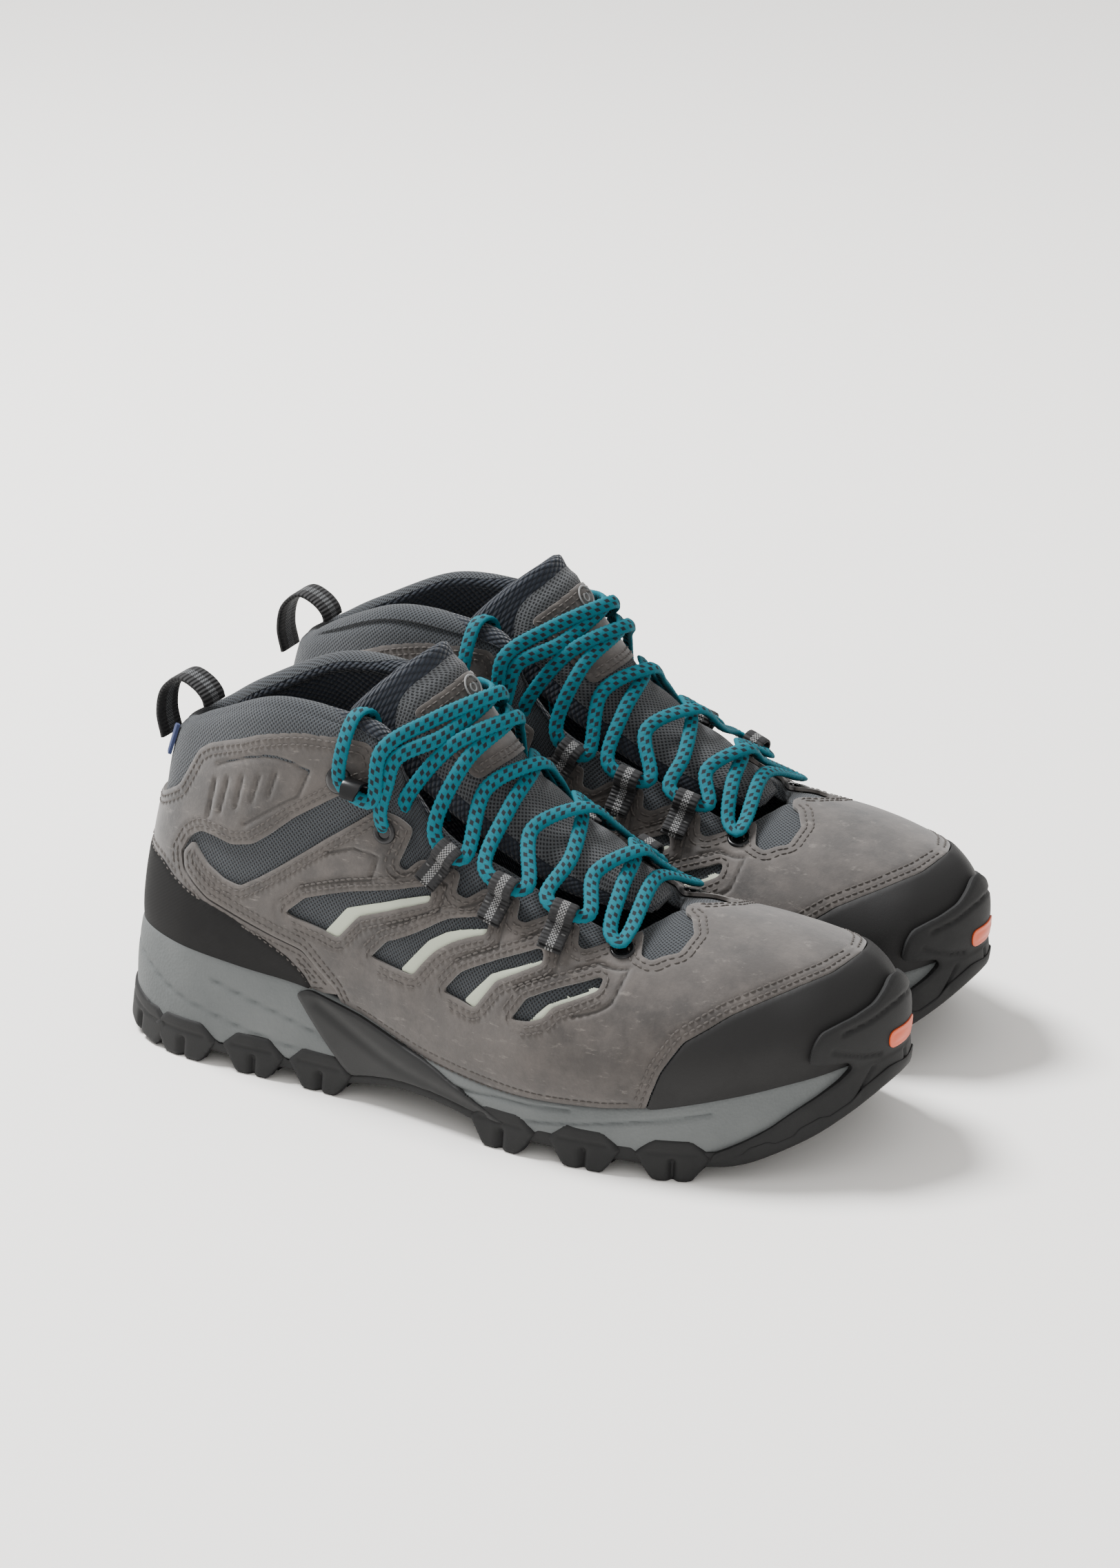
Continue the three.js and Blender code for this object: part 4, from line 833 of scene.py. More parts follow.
def solve_chart(d_s, d_t, way):
    """The chart move whose point move is nearest to way, by least squares."""
    ss, tt, st = (d_s ** 2).sum(-1), (d_t ** 2).sum(-1), (d_s * d_t).sum(-1)
    a, b = (d_s * way).sum(-1), (d_t * way).sum(-1)
    area = np.maximum(ss * tt - st * st, 1e-9)
    return np.stack([(a * tt - b * st) / area, (b * ss - a * st) / area], -1)


STITCH_PITCH, STITCH_LENGTH, STITCH_WIDTH = 2.7, 2.1, 0.8
STITCH_SINK = 0.1
SEAMS = (2.0, 4.4)
SEAM_SINK, SEAM_WIDTH = 0.25, 0.9


def stitch_run(chart, flat, good, height):
    """Short rounded stitches laid end to end along the good stretches of a line on the chart."""
    at = chart(flat[:, 0], flat[:, 1], height)
    out = unit(chart(flat[:, 0], flat[:, 1], height + 1) - at)
    run = lengths(at)
    parts = []
    for mark in np.arange(STITCH_PITCH, run[-1] - STITCH_PITCH, STITCH_PITCH):
        k = np.searchsorted(run, mark)
        if not good[max(k - 3, 0):k + 4].all() or run[k] - run[k - 1] > STITCH_PITCH:
            continue
        parts.append(stitch(at[k], unit(at[min(k + 1, len(at) - 1)] - at[k - 1]), out[k]))
    return parts


def stitch(at, along_line, out):
    """One stitch: a short rod, pointed at both ends and half sunk."""
    aside = np.cross(out, along_line)
    turn = np.linspace(0, 2 * np.pi, 7)[:-1]
    rings = []
    for place_on, size in ((-0.5, 0.35), (-0.25, 0.95), (0.25, 0.95), (0.5, 0.35)):
        middle = at + along_line * place_on * STITCH_LENGTH + out * (0.28 * size - 0.2)
        radius = size * STITCH_WIDTH / 2
        rings.append(middle + radius * (np.cos(turn)[:, None] * aside + np.sin(turn)[:, None] * out))
    return tube(rings)


class Cut:
    """A sheet cut to an outline on a chart, with windows, pressed grooves and stitch lines."""

    def __init__(self, chart, outline, span, levels, base, thickness, windows=(), grooves=(), radius=2.0):
        self.chart = chart
        self.outline = rounded(outline, chart, radius)
        self.windows = [rounded(w, chart, radius) for w in windows]
        self.span, self.levels = span, levels
        self.base, self.thickness = base, thickness
        self.grooves = grooves
        self.channels = SEAMS

    def depth(self, s, t):
        """How far a place on the chart lies inside the outline and outside every window."""
        value = outline_distance(self.chart, self.outline, s, t)
        for window in self.windows:
            value = np.minimum(value, -outline_distance(self.chart, window, s, t))
        return value

    def surfaces(self):
        """The cut grid and its height: an edge shape, less a bell curve along each seam and groove."""
        s, t, depth, keep = cut_grid(self.span, self.levels, self.depth)
        height = self.base + self.thickness * edge_shape(depth)
        for channel in self.channels:
            height = height - SEAM_SINK * np.exp(-((depth - channel) / SEAM_WIDTH) ** 2)
        self.pressed = np.zeros(s.shape)
        for line, sink, width in self.grooves:
            groove = np.exp(-(line_distance(self.chart, line, s, t) / width) ** 2)
            height = height - sink * groove
            self.pressed = np.maximum(self.pressed, groove)
        return s, t, depth, keep, height

    def build(self, name, foot, body, material, stands_for=()):
        """The piece, with its own depth as a per-point attribute for wear on its rims, negative in a groove,
        where the finish paints shade.
        """
        s, t, depth, keep, height = self.surfaces()
        outer, inner = self.chart(s, t, height), self.chart(s, t, self.base)
        points, faces = wall(outer, inner, keep)
        wear_and_groove_shade = np.tile(np.where(self.pressed > 0.15, -self.pressed, np.maximum(depth, 0)).ravel(), 2)
        uv = np.tile(cloth_uv(outer).reshape(-1, 2), (2, 1))
        return make_piece(name, foot, body, points, faces, material, stands_for, uv, wear_and_groove_shade)

    def sew(self, name, foot, body, material):
        """Two rows of stitches inside the outline and round each window."""
        parts = []
        for edge in [self.outline] + self.windows:
            for depth in SEAMS:
                outer = edge is self.outline
                flat, good = inset(self.chart, edge, depth) if outer else self.outset(edge, depth)
                parts += stitch_run(self.chart, flat, good, self.base + self.thickness - STITCH_SINK)
        points, faces = merged(parts)
        make_piece(name, foot, body, points, faces, material)

    def outset(self, edge, depth):
        """The line that runs round a window, outside it."""
        flat, _ = inset(self.chart, edge, 0.01)
        d_s, d_t, across = beside(self.chart, flat[:, 0], flat[:, 1])
        way = across * depth
        if inside(flat + solve_chart(d_s, d_t, way * 0.15), edge).mean() > 0.5:
            way = -way
        moved = flat + solve_chart(d_s, d_t, way)
        good = -outline_distance(self.chart, edge, moved[:, 0], moved[:, 1], depth + 3) > depth * 0.85
        good &= self.depth(moved[:, 0], moved[:, 1]) > depth * 0.8
        return moved, good


def ribbon(path, origin, axes, width, thickness, taper=None):
    """A flat strap swept along a path, with its UV.

    The path lies in the plane of the first two axes; the strap's width runs along the third.
    """
    path = np.asarray(path, float)
    run = lengths(path)
    count = int(run[-1] / 0.7) + 2
    line = curve_through(path, count)
    tangent = unit(np.gradient(line, axis=0))
    normal = np.stack([-tangent[:, 1], tangent[:, 0]], -1)
    here = lengths(line)
    wide = np.full(count, width) if taper is None else width * np.interp(here / here[-1], *taper)
    across = np.array([-0.5, -0.47, -0.35, 0, 0.35, 0.47, 0.5])
    lift = np.array([0.2, 0.42, 0.5, 0.5, 0.5, 0.42, 0.2]) * thickness
    top = np.stack([across, lift], -1)
    low = np.stack([across[::-1], -lift[::-1]], -1)
    section = np.concatenate([top, low])
    rings, uv = [], []
    for i in range(count):
        flat = line[i] + section[:, 1:] * normal[i]
        side = section[:, 0] * wide[i]
        rings.append(origin + flat[:, :1] * axes[0] + flat[:, 1:] * axes[1] + side[:, None] * axes[2])
        uv.append(np.stack([np.full(len(section), here[i]), side + width / 2], -1))
    points, faces = tube(rings)
    uv = np.concatenate([np.concatenate(uv), [[0, width / 2], [here[-1], width / 2]]])
    return points, faces, uv


def curve_through(points, count):
    """A centripetal curve through the points, read at equal steps of length."""
    fine = centripetal(points, 24)
    run = lengths(fine)
    return along(fine, np.linspace(0, run[-1], count))


def centripetal(points, steps):
    """The centripetal Catmull-Rom curve, with the end points mirrored outwards."""
    p = np.asarray(points, float)
    p = np.concatenate([[2 * p[0] - p[1]], p, [2 * p[-1] - p[-2]]])
    chords = np.maximum(np.linalg.norm(np.diff(p, axis=0), axis=1), 1e-4)
    knots = np.concatenate([[0], np.cumsum(chords ** 0.5)])
    pieces = []
    for i in range(1, len(p) - 2):
        t0, t1, t2, t3 = knots[i - 1:i + 3]
        t = np.linspace(t1, t2, steps, endpoint=False)[:, None]
        a1 = (t1 - t) / (t1 - t0) * p[i - 1] + (t - t0) / (t1 - t0) * p[i]
        a2 = (t2 - t) / (t2 - t1) * p[i] + (t - t1) / (t2 - t1) * p[i + 1]
        a3 = (t3 - t) / (t3 - t2) * p[i + 1] + (t - t2) / (t3 - t2) * p[i + 2]
        b1 = (t2 - t) / (t2 - t0) * a1 + (t - t0) / (t2 - t0) * a2
        b2 = (t3 - t) / (t3 - t1) * a2 + (t - t1) / (t3 - t1) * a3
        pieces.append((t2 - t) / (t2 - t1) * b1 + (t - t1) / (t2 - t1) * b2)
    return np.concatenate(pieces + [p[-2:-1]])


def dome(centre, out, forward, radius, height):
    """A low round dome with a flat back."""
    aside = np.cross(out, forward)
    turn = np.linspace(0, 2 * np.pi, 25)[:-1]
    rings = []
    profile = [(0.96, 0), (1.0, 0.25), (0.97, 0.5), (0.85, 0.78), (0.6, 0.95), (0.25, 1.0)]
    for size, rise in profile:
        circle = np.cos(turn)[:, None] * forward + np.sin(turn)[:, None] * aside
        rings.append(centre + out * rise * height + circle * radius * size)
    return tube(rings)


def collar(centre, out, forward, radius, wire, sides=32):
    """A ring of wire, such as an eyelet's rim: a circle swept round a circle, flatter across the surface."""
    aside = np.cross(out, forward)
    turn = np.linspace(0, 2 * np.pi, sides + 1)[:-1]
    small = np.linspace(0, 2 * np.pi, 11)[:-1]
    rings = []
    for angle in turn:
        radial = np.cos(angle) * forward + np.sin(angle) * aside
        reach = (radius + wire * np.cos(small))[:, None]
        rings.append(centre + radial * reach + out * 0.7 * wire * np.sin(small)[:, None])
    return tube(rings, closed=True)


def frame_on(chart, s, t, offset):
    """The point on a chart, forward along it, up it and out of it."""
    at = chart(np.array([s]), np.array([t]), offset)[0]
    out = unit(chart(np.array([s]), np.array([t]), offset + 1)[0] - at)
    forward = unit(chart(np.array([s + 0.05]), np.array([t]), offset)[0] - at)
    up = unit(np.cross(forward, out))
    if up[2] < 0:
        up = -up
    return at, unit(forward), up, out


def loft(rings):
    """Stacked closed rings; the first and last are capped by strips from side to side."""
    rings = np.asarray(rings, float)
    count, around = rings.shape[:2]
    quads = [cells(count, around, wrap=True).reshape(-1, 4)]
    i = np.arange(around // 2)
    a, b, c, d = i, i + 1, (around - i - 1) % around, (around - i) % around
    quads.append(np.stack([d, c, b, a], 1))
    top = (count - 1) * around
    quads.append(np.stack([a, b, c, d], 1) + top)
    return rings.reshape(-1, 3), np.concatenate(quads)


# Outlines on the skin, as [s, t]

BAND_TOP = [(0, 3.05), (0.8, 3.05), (1.5, 2.94), (1.78, 2.73), (2.24, 2.5), (2.75, 2.31), (3.31, 2.04),
            (3.71, 1.75), (4.0, 1.35), (4.11, 1.04)]
ANKLE_HALF = [(0, 4.45), (1.0, 4.5), (1.55, 4.75), (1.9, 5.42), (2.15, 5.52), (2.71, 5.5), (3.2, 5.62),
              (3.6, 5.74), (4.1, 5.82), (4.65, 5.88), (4.8, 5.78), (4.86, 5.6), (4.89, 5.43), (4.51, 5.21),
              (4.0, 4.79), (3.55, 4.38), (3.24, 4.04), (3.01, 3.82), (2.7, 3.74), (2.41, 3.85), (2.2, 3.9),
              (2.08, 3.85), (1.95, 3.72), (1.86, 3.4), (1.84, 3.36), (1.95, 2.96), (2.2, 2.7), (2.44, 2.49),
              (2.94, 2.29), (3.49, 2.12), (3.94, 2.02), (4.2, 1.73), (4.54, 1.31), (4.62, 1.2), (4.05, 0.8),
              (3.9, 1.3), (3.6, 1.65), (3.2, 1.94), (2.65, 2.21), (2.14, 2.4), (1.7, 2.62), (1.4, 2.82),
              (0.8, 2.93), (0, 2.93)]
QUARTER = [(4.7, 0.8), (4.54, 1.31), (4.2, 1.73), (3.94, 2.05), (3.49, 2.15), (2.94, 2.33), (2.44, 2.53),
           (2.2, 2.75), (1.98, 3.0), (1.9, 3.36), (2.05, 3.65), (2.36, 3.24), (2.65, 3.01), (2.89, 2.95),
           (3.19, 3.25), (3.6, 3.71), (4.05, 4.2), (4.39, 4.55), (4.81, 4.95), (5.29, 5.1), (5.9, 5.3),
           (5.41, 4.39), (5.68, 4.42), (6.11, 4.89), (6.94, 5.45), (7.23, 5.48), (7.18, 4.95), (7.4, 4.99),
           (7.69, 5.49), (8.18, 5.69), (8.26, 5.62), (8.29, 5.19), (8.45, 5.19), (8.8, 5.7), (9.28, 5.76),
           (9.35, 5.26), (9.46, 5.21), (9.85, 5.75), (10.2, 5.95), (10.69, 5.86), (10.85, 5.5), (11.0, 5.15),
           (11.45, 4.93), (12.19, 5.01), (12.43, 5.41), (12.3, 5.75), (12.08, 5.85), (12.0, 6.3)]
CAP_EDGE = [(16, 5.85), (15.75, 5.66), (15.43, 5.34), (15.03, 4.8), (14.25, 4.26), (13.33, 3.74),
            (12.51, 3.1), (12.04, 2.2), (11.6, 0.8)]
WINDOWS = [
    [(3.60, 2.71), (3.85, 3.09), (4.55, 3.50), (5.59, 4.06), (6.51, 4.61), (6.61, 4.59), (6.58, 4.28),
     (5.70, 3.75), (4.78, 3.11), (4.48, 2.56), (4.19, 2.62), (3.75, 2.66)],
    [(5.18, 2.51), (5.53, 2.99), (6.69, 3.80), (7.78, 4.88), (7.86, 4.85), (7.83, 4.44), (6.94, 3.40),
     (6.44, 2.73), (5.93, 2.66)],
    [(7.23, 2.75), (7.49, 3.29), (8.12, 4.05), (8.80, 4.83), (8.89, 4.76), (8.93, 4.51), (8.16, 3.55),
     (7.85, 2.73), (7.58, 2.74)],
    [(8.54, 2.93), (8.76, 3.56), (9.33, 4.19), (9.85, 4.75), (9.94, 4.69), (9.91, 4.39), (9.24, 3.62),
     (9.11, 3.28), (8.84, 3.06)]]
ACCENTS = [
    [(6.58, 4.28), (5.70, 3.75), (4.78, 3.11), (4.48, 2.56), (4.25, 2.60), (4.54, 3.17), (5.62, 3.88),
     (6.56, 4.42)],
    [(7.83, 4.44), (6.94, 3.40), (6.44, 2.73), (6.05, 2.69), (6.72, 3.52), (7.84, 4.60)],
    [(8.93, 4.51), (8.16, 3.55), (7.85, 2.73), (7.64, 2.78), (8.03, 3.62), (8.92, 4.6)],
    [(9.91, 4.39), (9.24, 3.62), (9.11, 3.28), (8.86, 3.06), (9.16, 3.65), (9.92, 4.5)]]
CHEVRONS = [[(5.39, 4.16), (6.23, 4.76), (6.98, 4.98), (6.88, 4.25), (5.48, 3.31)],
            [(7.31, 4.67), (7.71, 5.20), (8.12, 5.23), (8.09, 4.33), (7.40, 3.49)],
            [(8.47, 4.80), (8.78, 5.24), (9.14, 5.16), (9.16, 4.39), (8.56, 3.71)],
            [(9.46, 4.69), (9.75, 5.05), (10.71, 4.89), (10.33, 4.10), (9.56, 3.58)],
            [(4.09, 3.98), (4.48, 4.23), (4.93, 4.28), (4.84, 3.85), (3.80, 3.29)]]
ANKLE_ARROW = [(2.35, 5.10), (3.28, 5.25), (3.73, 5.18), (3.60, 4.74), (2.86, 4.14)]
ANKLE_BARS = [[(2.34, 4.84), (2.27, 4.20)], [(2.55, 4.84), (2.46, 4.30)], [(2.78, 4.86), (2.71, 4.40)],
              [(3.04, 4.90), (2.95, 4.51)], [(3.28, 4.99), (3.20, 4.65)]]
GROOVE_DEPTH, GROOVE_WIDTH = 0.9, 0.8


def on_both(lines, other):
    """The lines and their copies on the other side."""
    return lines + [other(line) for line in lines]


# Upper


def top_point(s, height, turn, depth, bulge):
    """Over the collar: a half circle from the outer face (turn 0) to the inner (turn pi), then bulged."""
    at = skin(s, TOP_LEVEL, 0.0)
    out = skin_normal(s, TOP_LEVEL)
    up = unit(at - skin(s, TOP_LEVEL - 0.05, 0.0))
    radius = depth / 2
    shut = 1 - smooth(np.abs(s), THROAT_BASE - 0.8, THROAT_BASE)
    across = radius * (1 - np.cos(turn))
    rise = radius * np.sin(turn) * shut
    round_way = unit(out * np.cos(turn)[..., None] + up * np.sin(turn)[..., None])
    arch = at - out * across[..., None] + up * rise[..., None]
    return arch + round_way * (bulge * shut + height)[..., None]


def collar_roll(s):
    """The knit collar is thickest towards the front of the ankle opening."""
    inner = smooth(-s, 0.6, 2.5) * (1 - smooth(-s, 3.5, 5.5))
    s = np.abs(s)
    return 1.6 * smooth(s, 4.0, 5.0) * (1 - smooth(s, 6.0, 7.2)) + 1.8 * inner


def knit_start(s):
    """Where the knit takes over from the mesh on its way over the collar, in radians."""
    s = np.abs(s)
    front = smooth(s, 3.4, 4.6) * (1 - smooth(s, 6.3, 7.4))
    return 2.3 - 2.25 * front


def mesh_puff(s, t):
    """The mesh stands up a little where foam lies behind it."""
    rear = 1 - smooth(np.abs(s), COLLAR_FRONT, COLLAR_FRONT + 1)
    return 1.3 * smooth(t, 4.4, 5.6) * rear * (1 - smooth(t, 5.85, 6)) + 0.6 * smooth(t, 2.5, 3.2) * rear


def over_collar(s_axis, t_axis, turns, start, inward):
    """One face of a wall that climbs the skin and turns over the collar; inward is how deep it lies."""
    s, t = np.meshgrid(s_axis, t_axis, indexing="ij")
    side = skin(s, t, mesh_puff(s, t) - inward)
    s2, share = np.meshgrid(s_axis, turns, indexing="ij")
    turn = share * start(s2)
    depth = INNER_DEPTH + pad_depth(s2, TOP_LEVEL)
    top = top_point(s2, np.full(s2.shape, -inward), turn, depth, collar_roll(s2))
    return np.concatenate([side, top], axis=1)


def padded_wall(name, foot, body, outer, inner, finish, stands_for=(), keep=None):
    """A soft closed wall between two grids, its UV in the cloth's own millimetres."""
    points, faces = wall(outer, inner, keep)
    uv = np.tile(cloth_uv(outer).reshape(-1, 2), (2, 1))
    make_piece(name, foot, body, points, faces, finish, stands_for, uv)


def build_mesh(foot, finish):
    """The mesh: the skin from the sole edge to the top line, then over the collar as far as the knit."""
    s_axis = even_axis(skin, -LAST_RIB, LAST_RIB, 3, 1.25)
    t_axis = even_levels(skin, 2, 0.45, TOP_LEVEL, 2.0)
    turns = np.linspace(0.06, 1, 9)
    outer = over_collar(s_axis, t_axis, turns, knit_start, 0.0)
    inner = over_collar(s_axis, t_axis, turns, knit_start, MESH_WALL)
    padded_wall("mesh_skin", foot, "boot", outer, inner, finish, ("mesh_upper",))


def build_lining(foot, finish):
    """The knit: from the mesh on over the collar, then down the inside, behind the padding."""
    s_axis = even_axis(skin, -LAST_RIB, LAST_RIB, 3, 1.3)
    shares = np.linspace(0, 1, 12)
    t_axis = even_levels(skin, 2, 0.25, TOP_LEVEL, 2.4)[::-1]

    def face(inward):
        """The face that lies inward millimetres deeper than the outer one."""
        s, share = np.meshgrid(s_axis, shares, indexing="ij")
        begin = knit_start(s) - 0.12
        turn = begin + (np.pi - begin) * share
        depth = INNER_DEPTH + pad_depth(s, TOP_LEVEL)
        low = np.full(s.shape, -inward - 0.12)
        top = top_point(s, low, turn, depth, collar_roll(s) * (1 - smooth(share, 0.6, 1)))
        s2, t2 = np.meshgrid(s_axis, t_axis, indexing="ij")
        way = INNER_DEPTH + pad_depth(s2, t2) + 0.8 * smooth(t2, 4.2, 5.2) * (1 - smooth(t2, 5.6, 6)) - inward
        return np.concatenate([top, skin(s2, t2, -way)], axis=1)

    padded_wall("knit_lining", foot, "boot", face(0.0), face(1.0), finish, ("lining",))


def build_leather(foot, leather, thread):
    """Two cut sheets: one round the heel and ankle, one over the quarters and vamp with its windows."""
    ankle_outline = ANKLE_HALF + mirrored(ANKLE_HALF)
    arrows = on_both([ANKLE_ARROW], mirrored)
    bars = on_both(ANKLE_BARS, mirrored)
    grooves = [(line, GROOVE_DEPTH, GROOVE_WIDTH) for line in arrows + bars]
    ankle = Cut(skin, ankle_outline, even_axis(skin, -5.1, 5.1, 3.5, 1.0), even_levels(skin, 2, 0.7, 6, 0.95),
                FIT, LEATHER, grooves=grooves)
    ankle.build("ankle_panel", foot, "boot", leather, ("ankle_leather",))
    ankle.sew("ankle_stitching", foot, "boot", thread)
    quarter = QUARTER + past_toe(QUARTER) + past_toe(CAP_EDGE) + CAP_EDGE[1:]
    windows = on_both(WINDOWS, past_toe)
    grooves = [(line, GROOVE_DEPTH, GROOVE_WIDTH) for line in on_both(CHEVRONS, past_toe)]
    lower = Cut(skin, quarter, even_axis(skin, 1.8, ROUND - 1.8, 3, 1.0), even_levels(skin, 5, 0.7, 6, 0.95),
                FIT, LEATHER, windows, grooves, radius=1.6)
    lower.build("quarter_and_vamp", foot, "boot", leather, ("lower_leather",))
    lower.sew("quarter_stitching", foot, "boot", thread)


def build_accents(foot, accent):
    """A thin pale strip along the lower edge of each window."""
    for k, line in enumerate(on_both(ACCENTS, past_toe)):
        line_s = np.array(line)[:, 0]
        cut = Cut(skin, line, even_axis(skin, line_s.min() - 0.1, line_s.max() + 0.1, 3.5, 0.8),
                  even_levels(skin, 6, 2.3, 5, 0.8), 0.3, 0.9, radius=0.6)
        cut.channels = ()
        cut.build(f"accent_strip_{k + 1}", foot, "boot", accent)


def build_rubber_cap(foot, rubber, ribbed):
    """Rubber over the toe, up to the vamp's edge, and a band round the heel."""
    cap = [(s + 0.05, t) for s, t in CAP_EDGE[::-1]]
    outline = cap[:-1] + [(16, 5.8)] + past_toe(cap[:-1])
    toe = Cut(skin, outline, even_axis(skin, 11.4, ROUND - 11.4, 3, 0.9), even_levels(skin, 15, 0.7, 6, 0.8),
              FIT, RAND, radius=1.6)
    toe.channels = ()
    toe.build("rubber_toe_cap", foot, "boot", rubber, ("toe_cap",))
    band = BAND_TOP + [(4.2, 0.5), (0, 0.5)]
    heel = Cut(skin, band + mirrored(band), even_axis(skin, -4.3, 4.3, 2, 0.95),
               even_levels(skin, 1, 0.4, 3.2, 0.9), FIT, RAND, radius=1.6)
    heel.channels = ()
    heel.build("rubber_heel_band", foot, "boot", ribbed, ("heel_band",))


# Tongue

TONGUE_LINE = np.array([[214, 82.5], [205, 88.5], [190, 98], [170, 110], [153, 123.5], [141, 138], [132, 152],
                        [124, 166]], float)
TONGUE_HALF = np.array([9, 15, 19.5, 21, 22, 21, 20.5, 18], float)[:, None]
TONGUE_DEPTH = np.array([3, 8, 14, 17, 21, 30, 39, 36], float)[:, None]
TONGUE_LAST, TONGUE_DROP, TONGUE_WALL = 7, 0.55, 6


def read_line(rows, v):
    """A cubic through evenly numbered rows, the last slope held."""
    i = np.clip(np.floor(v).astype(int), 0, len(rows) - 2)
    at = [rows[np.clip(i + k, 0, len(rows) - 1)] for k in (-1, 0, 1, 2)]
    return catmull(at, (v - i)[..., None])


def tongue_point(v, angle, offset=0.0):
    """Up the tongue by v, then round a half ellipse by the angle from its middle, and out from it."""
    v, angle, offset = as_grids(v, angle, offset)
    at = read_line(TONGUE_LINE, v)
    above, below = np.minimum(v + 0.05, TONGUE_LAST), np.maximum(v - 0.05, 0)
    way = unit(read_line(TONGUE_LINE, above) - read_line(TONGUE_LINE, below))
    half = read_line(TONGUE_HALF, v)[..., 0] + offset
    depth = read_line(TONGUE_DEPTH, v)[..., 0] + offset
    back = offset - depth * (1 - np.cos(angle))
    x, z = at[..., 0] + way[..., 1] * back, at[..., 1] - way[..., 0] * back
    return np.stack([x, half * np.sin(angle), z], -1)


CROSSING_PLACES = (1.45, 2.6, 3.7, 4.75, 5.4)
PATCH_BASE = FIT + 0.9


def quilt(v, angle):
    """The padded mesh swells between the lace crossings and is drawn in under them."""
    value = np.full(np.shape(v), 1.7)
    for at in CROSSING_PLACES[:3]:
        value = value - 1.3 * np.exp(-((v - at) / 0.28) ** 2)
    return value * (1 - smooth(np.abs(angle), 1.0, 1.35))


def build_tongue(foot, knit, mesh, leather, thread, emblem):
    """A padded shell that thins to its rim, a mesh panel on it, and a leather patch with a printed ring."""
    angles = np.linspace(-np.pi / 2, np.pi / 2, 61)
    shares = np.linspace(0, 1, 90)
    a, u = np.meshgrid(angles, shares, indexing="ij")
    v = u * (TONGUE_LAST - TONGUE_DROP * (a / (np.pi / 2)) ** 2)
    rim = np.minimum((np.pi / 2 - np.abs(a)) * 20, (1 - u) * 110)
    swell = np.sqrt(np.clip(1 - (1 - np.clip(rim / 3.2, 0, 1)) ** 2, 0, 1))
    outer = tongue_point(v, a, -2.6 + 2.6 * swell)
    inner = tongue_point(v, a, -2.8 - (TONGUE_WALL - 3.2) * swell)
    padded_wall("tongue_knit", foot, "tongue_body", outer, inner, knit, ("tongue",))
    panel = Cut(tongue_point, [(0.1, -1.0), (0.1, 1.0), (5.6, 1.22), (6.35, 0.95), (6.6, 0.0), (6.35, -0.95),
                               (5.6, -1.22)], even_axis(tongue_point, 0, 6.7, 0.0, 1.2),
                even_levels(tongue_point, 4, -1.3, 1.3, 1.2), -0.3, 1.0, radius=6)
    s, t, depth, keep, _ = panel.surfaces()
    outer = tongue_point(s, t, 0.2 + quilt(s, t) * smooth(depth, 0, 5))
    inner = tongue_point(s, t, -0.4)
    padded_wall("tongue_mesh", foot, "tongue_body", outer, inner, mesh, keep=keep)
    patch_line = [(4.15, -0.80), (4.1, 0.0), (4.15, 0.80), (5.95, 0.90), (6.15, 0.0), (5.95, -0.90)]
    patch = Cut(tongue_point, patch_line, even_axis(tongue_point, 4.0, 6.25, 0.0, 0.8),
                even_levels(tongue_point, 5, -1.0, 1.0, 0.8), PATCH_BASE, LEATHER, radius=3)
    patch.build("tongue_leather", foot, "tongue_body", leather, ("tongue_patch",))
    patch.sew("tongue_stitching", foot, "tongue_body", thread)
    at, forward, _, out = frame_on(tongue_point, 5.78, 0.0, PATCH_BASE + LEATHER - 0.1)
    points, faces = merged([collar(at, out, forward, radius, 0.45) for radius in (4.6, 1.7)])
    make_piece("tongue_ring", foot, "tongue_body", points, faces, emblem)


# Fastenings

LACE_DIAMETER = 4
SEAT = FIT + LEATHER + 0.7
LOOP_RADIUS, LOOP_TAIL, LOOP_WIDTH, WEB = 3.6, 14, 9, 1.3
HOOK_AT, HOOK_WIDTH = (4.55, 5.25), 9
RIVET_RADIUS, RIVET_HEIGHT = 5.2, 2.6
EYELETS = ((5.02, 4.72, 3.4), (10.2, 5.5, 3.6))
EYELET_WIRE = 1.1
TACK_DROP = 7.5
LOOPS = [(9, 5.7), (8, 5.7), (7, 5.7)]
IN_LOOP = SEAT + LACE_DIAMETER / 2 + 1 + 1.2
ON_EYELET = SEAT + LACE_DIAMETER / 2 + 0.8
IN_HOOK = SEAT + 4.3
OVER_EDGE = SEAT + LACE_DIAMETER / 2 + 1


def build_loop(foot, side, where, k, finish, thread):
    """A strap up from under the leather, round the lace and back down, tacked with three stitches."""
    s, t = LOOPS[k]
    at, forward, up, out = frame_on(skin, side * s, t, IN_LOOP)
    turn = np.linspace(-np.pi / 2, np.pi + 0.25, 14)
    back = [[-LOOP_TAIL, -LOOP_RADIUS - 0.4], [-LOOP_TAIL / 2, -LOOP_RADIUS - 0.1]]
    round_lace = [[LOOP_RADIUS * np.cos(a), LOOP_RADIUS * np.sin(a)] for a in turn]
    front = [[-LOOP_RADIUS - 2.2, -LOOP_RADIUS + 1.6], [-LOOP_TAIL + 1, -LOOP_RADIUS + 0.9]]
    points, faces, uv = ribbon(back + round_lace + front, at, (up, out, forward), LOOP_WIDTH, WEB)
    name = f"webbing_loop_{where}_{k + 1}"
    make_piece(name, foot, "boot", points, faces, finish, (f"lace_loop_{where}_{k + 1}",), uv)
    lift = out * (-LOOP_RADIUS + 1.75)
    rods = [stitch(at - up * TACK_DROP + forward * w + lift, forward, out) for w in (-3, 0, 3)]
    points, faces = merged(rods)
    make_piece(f"loop_tack_{where}_{k + 1}", foot, "boot", points, faces, thread)


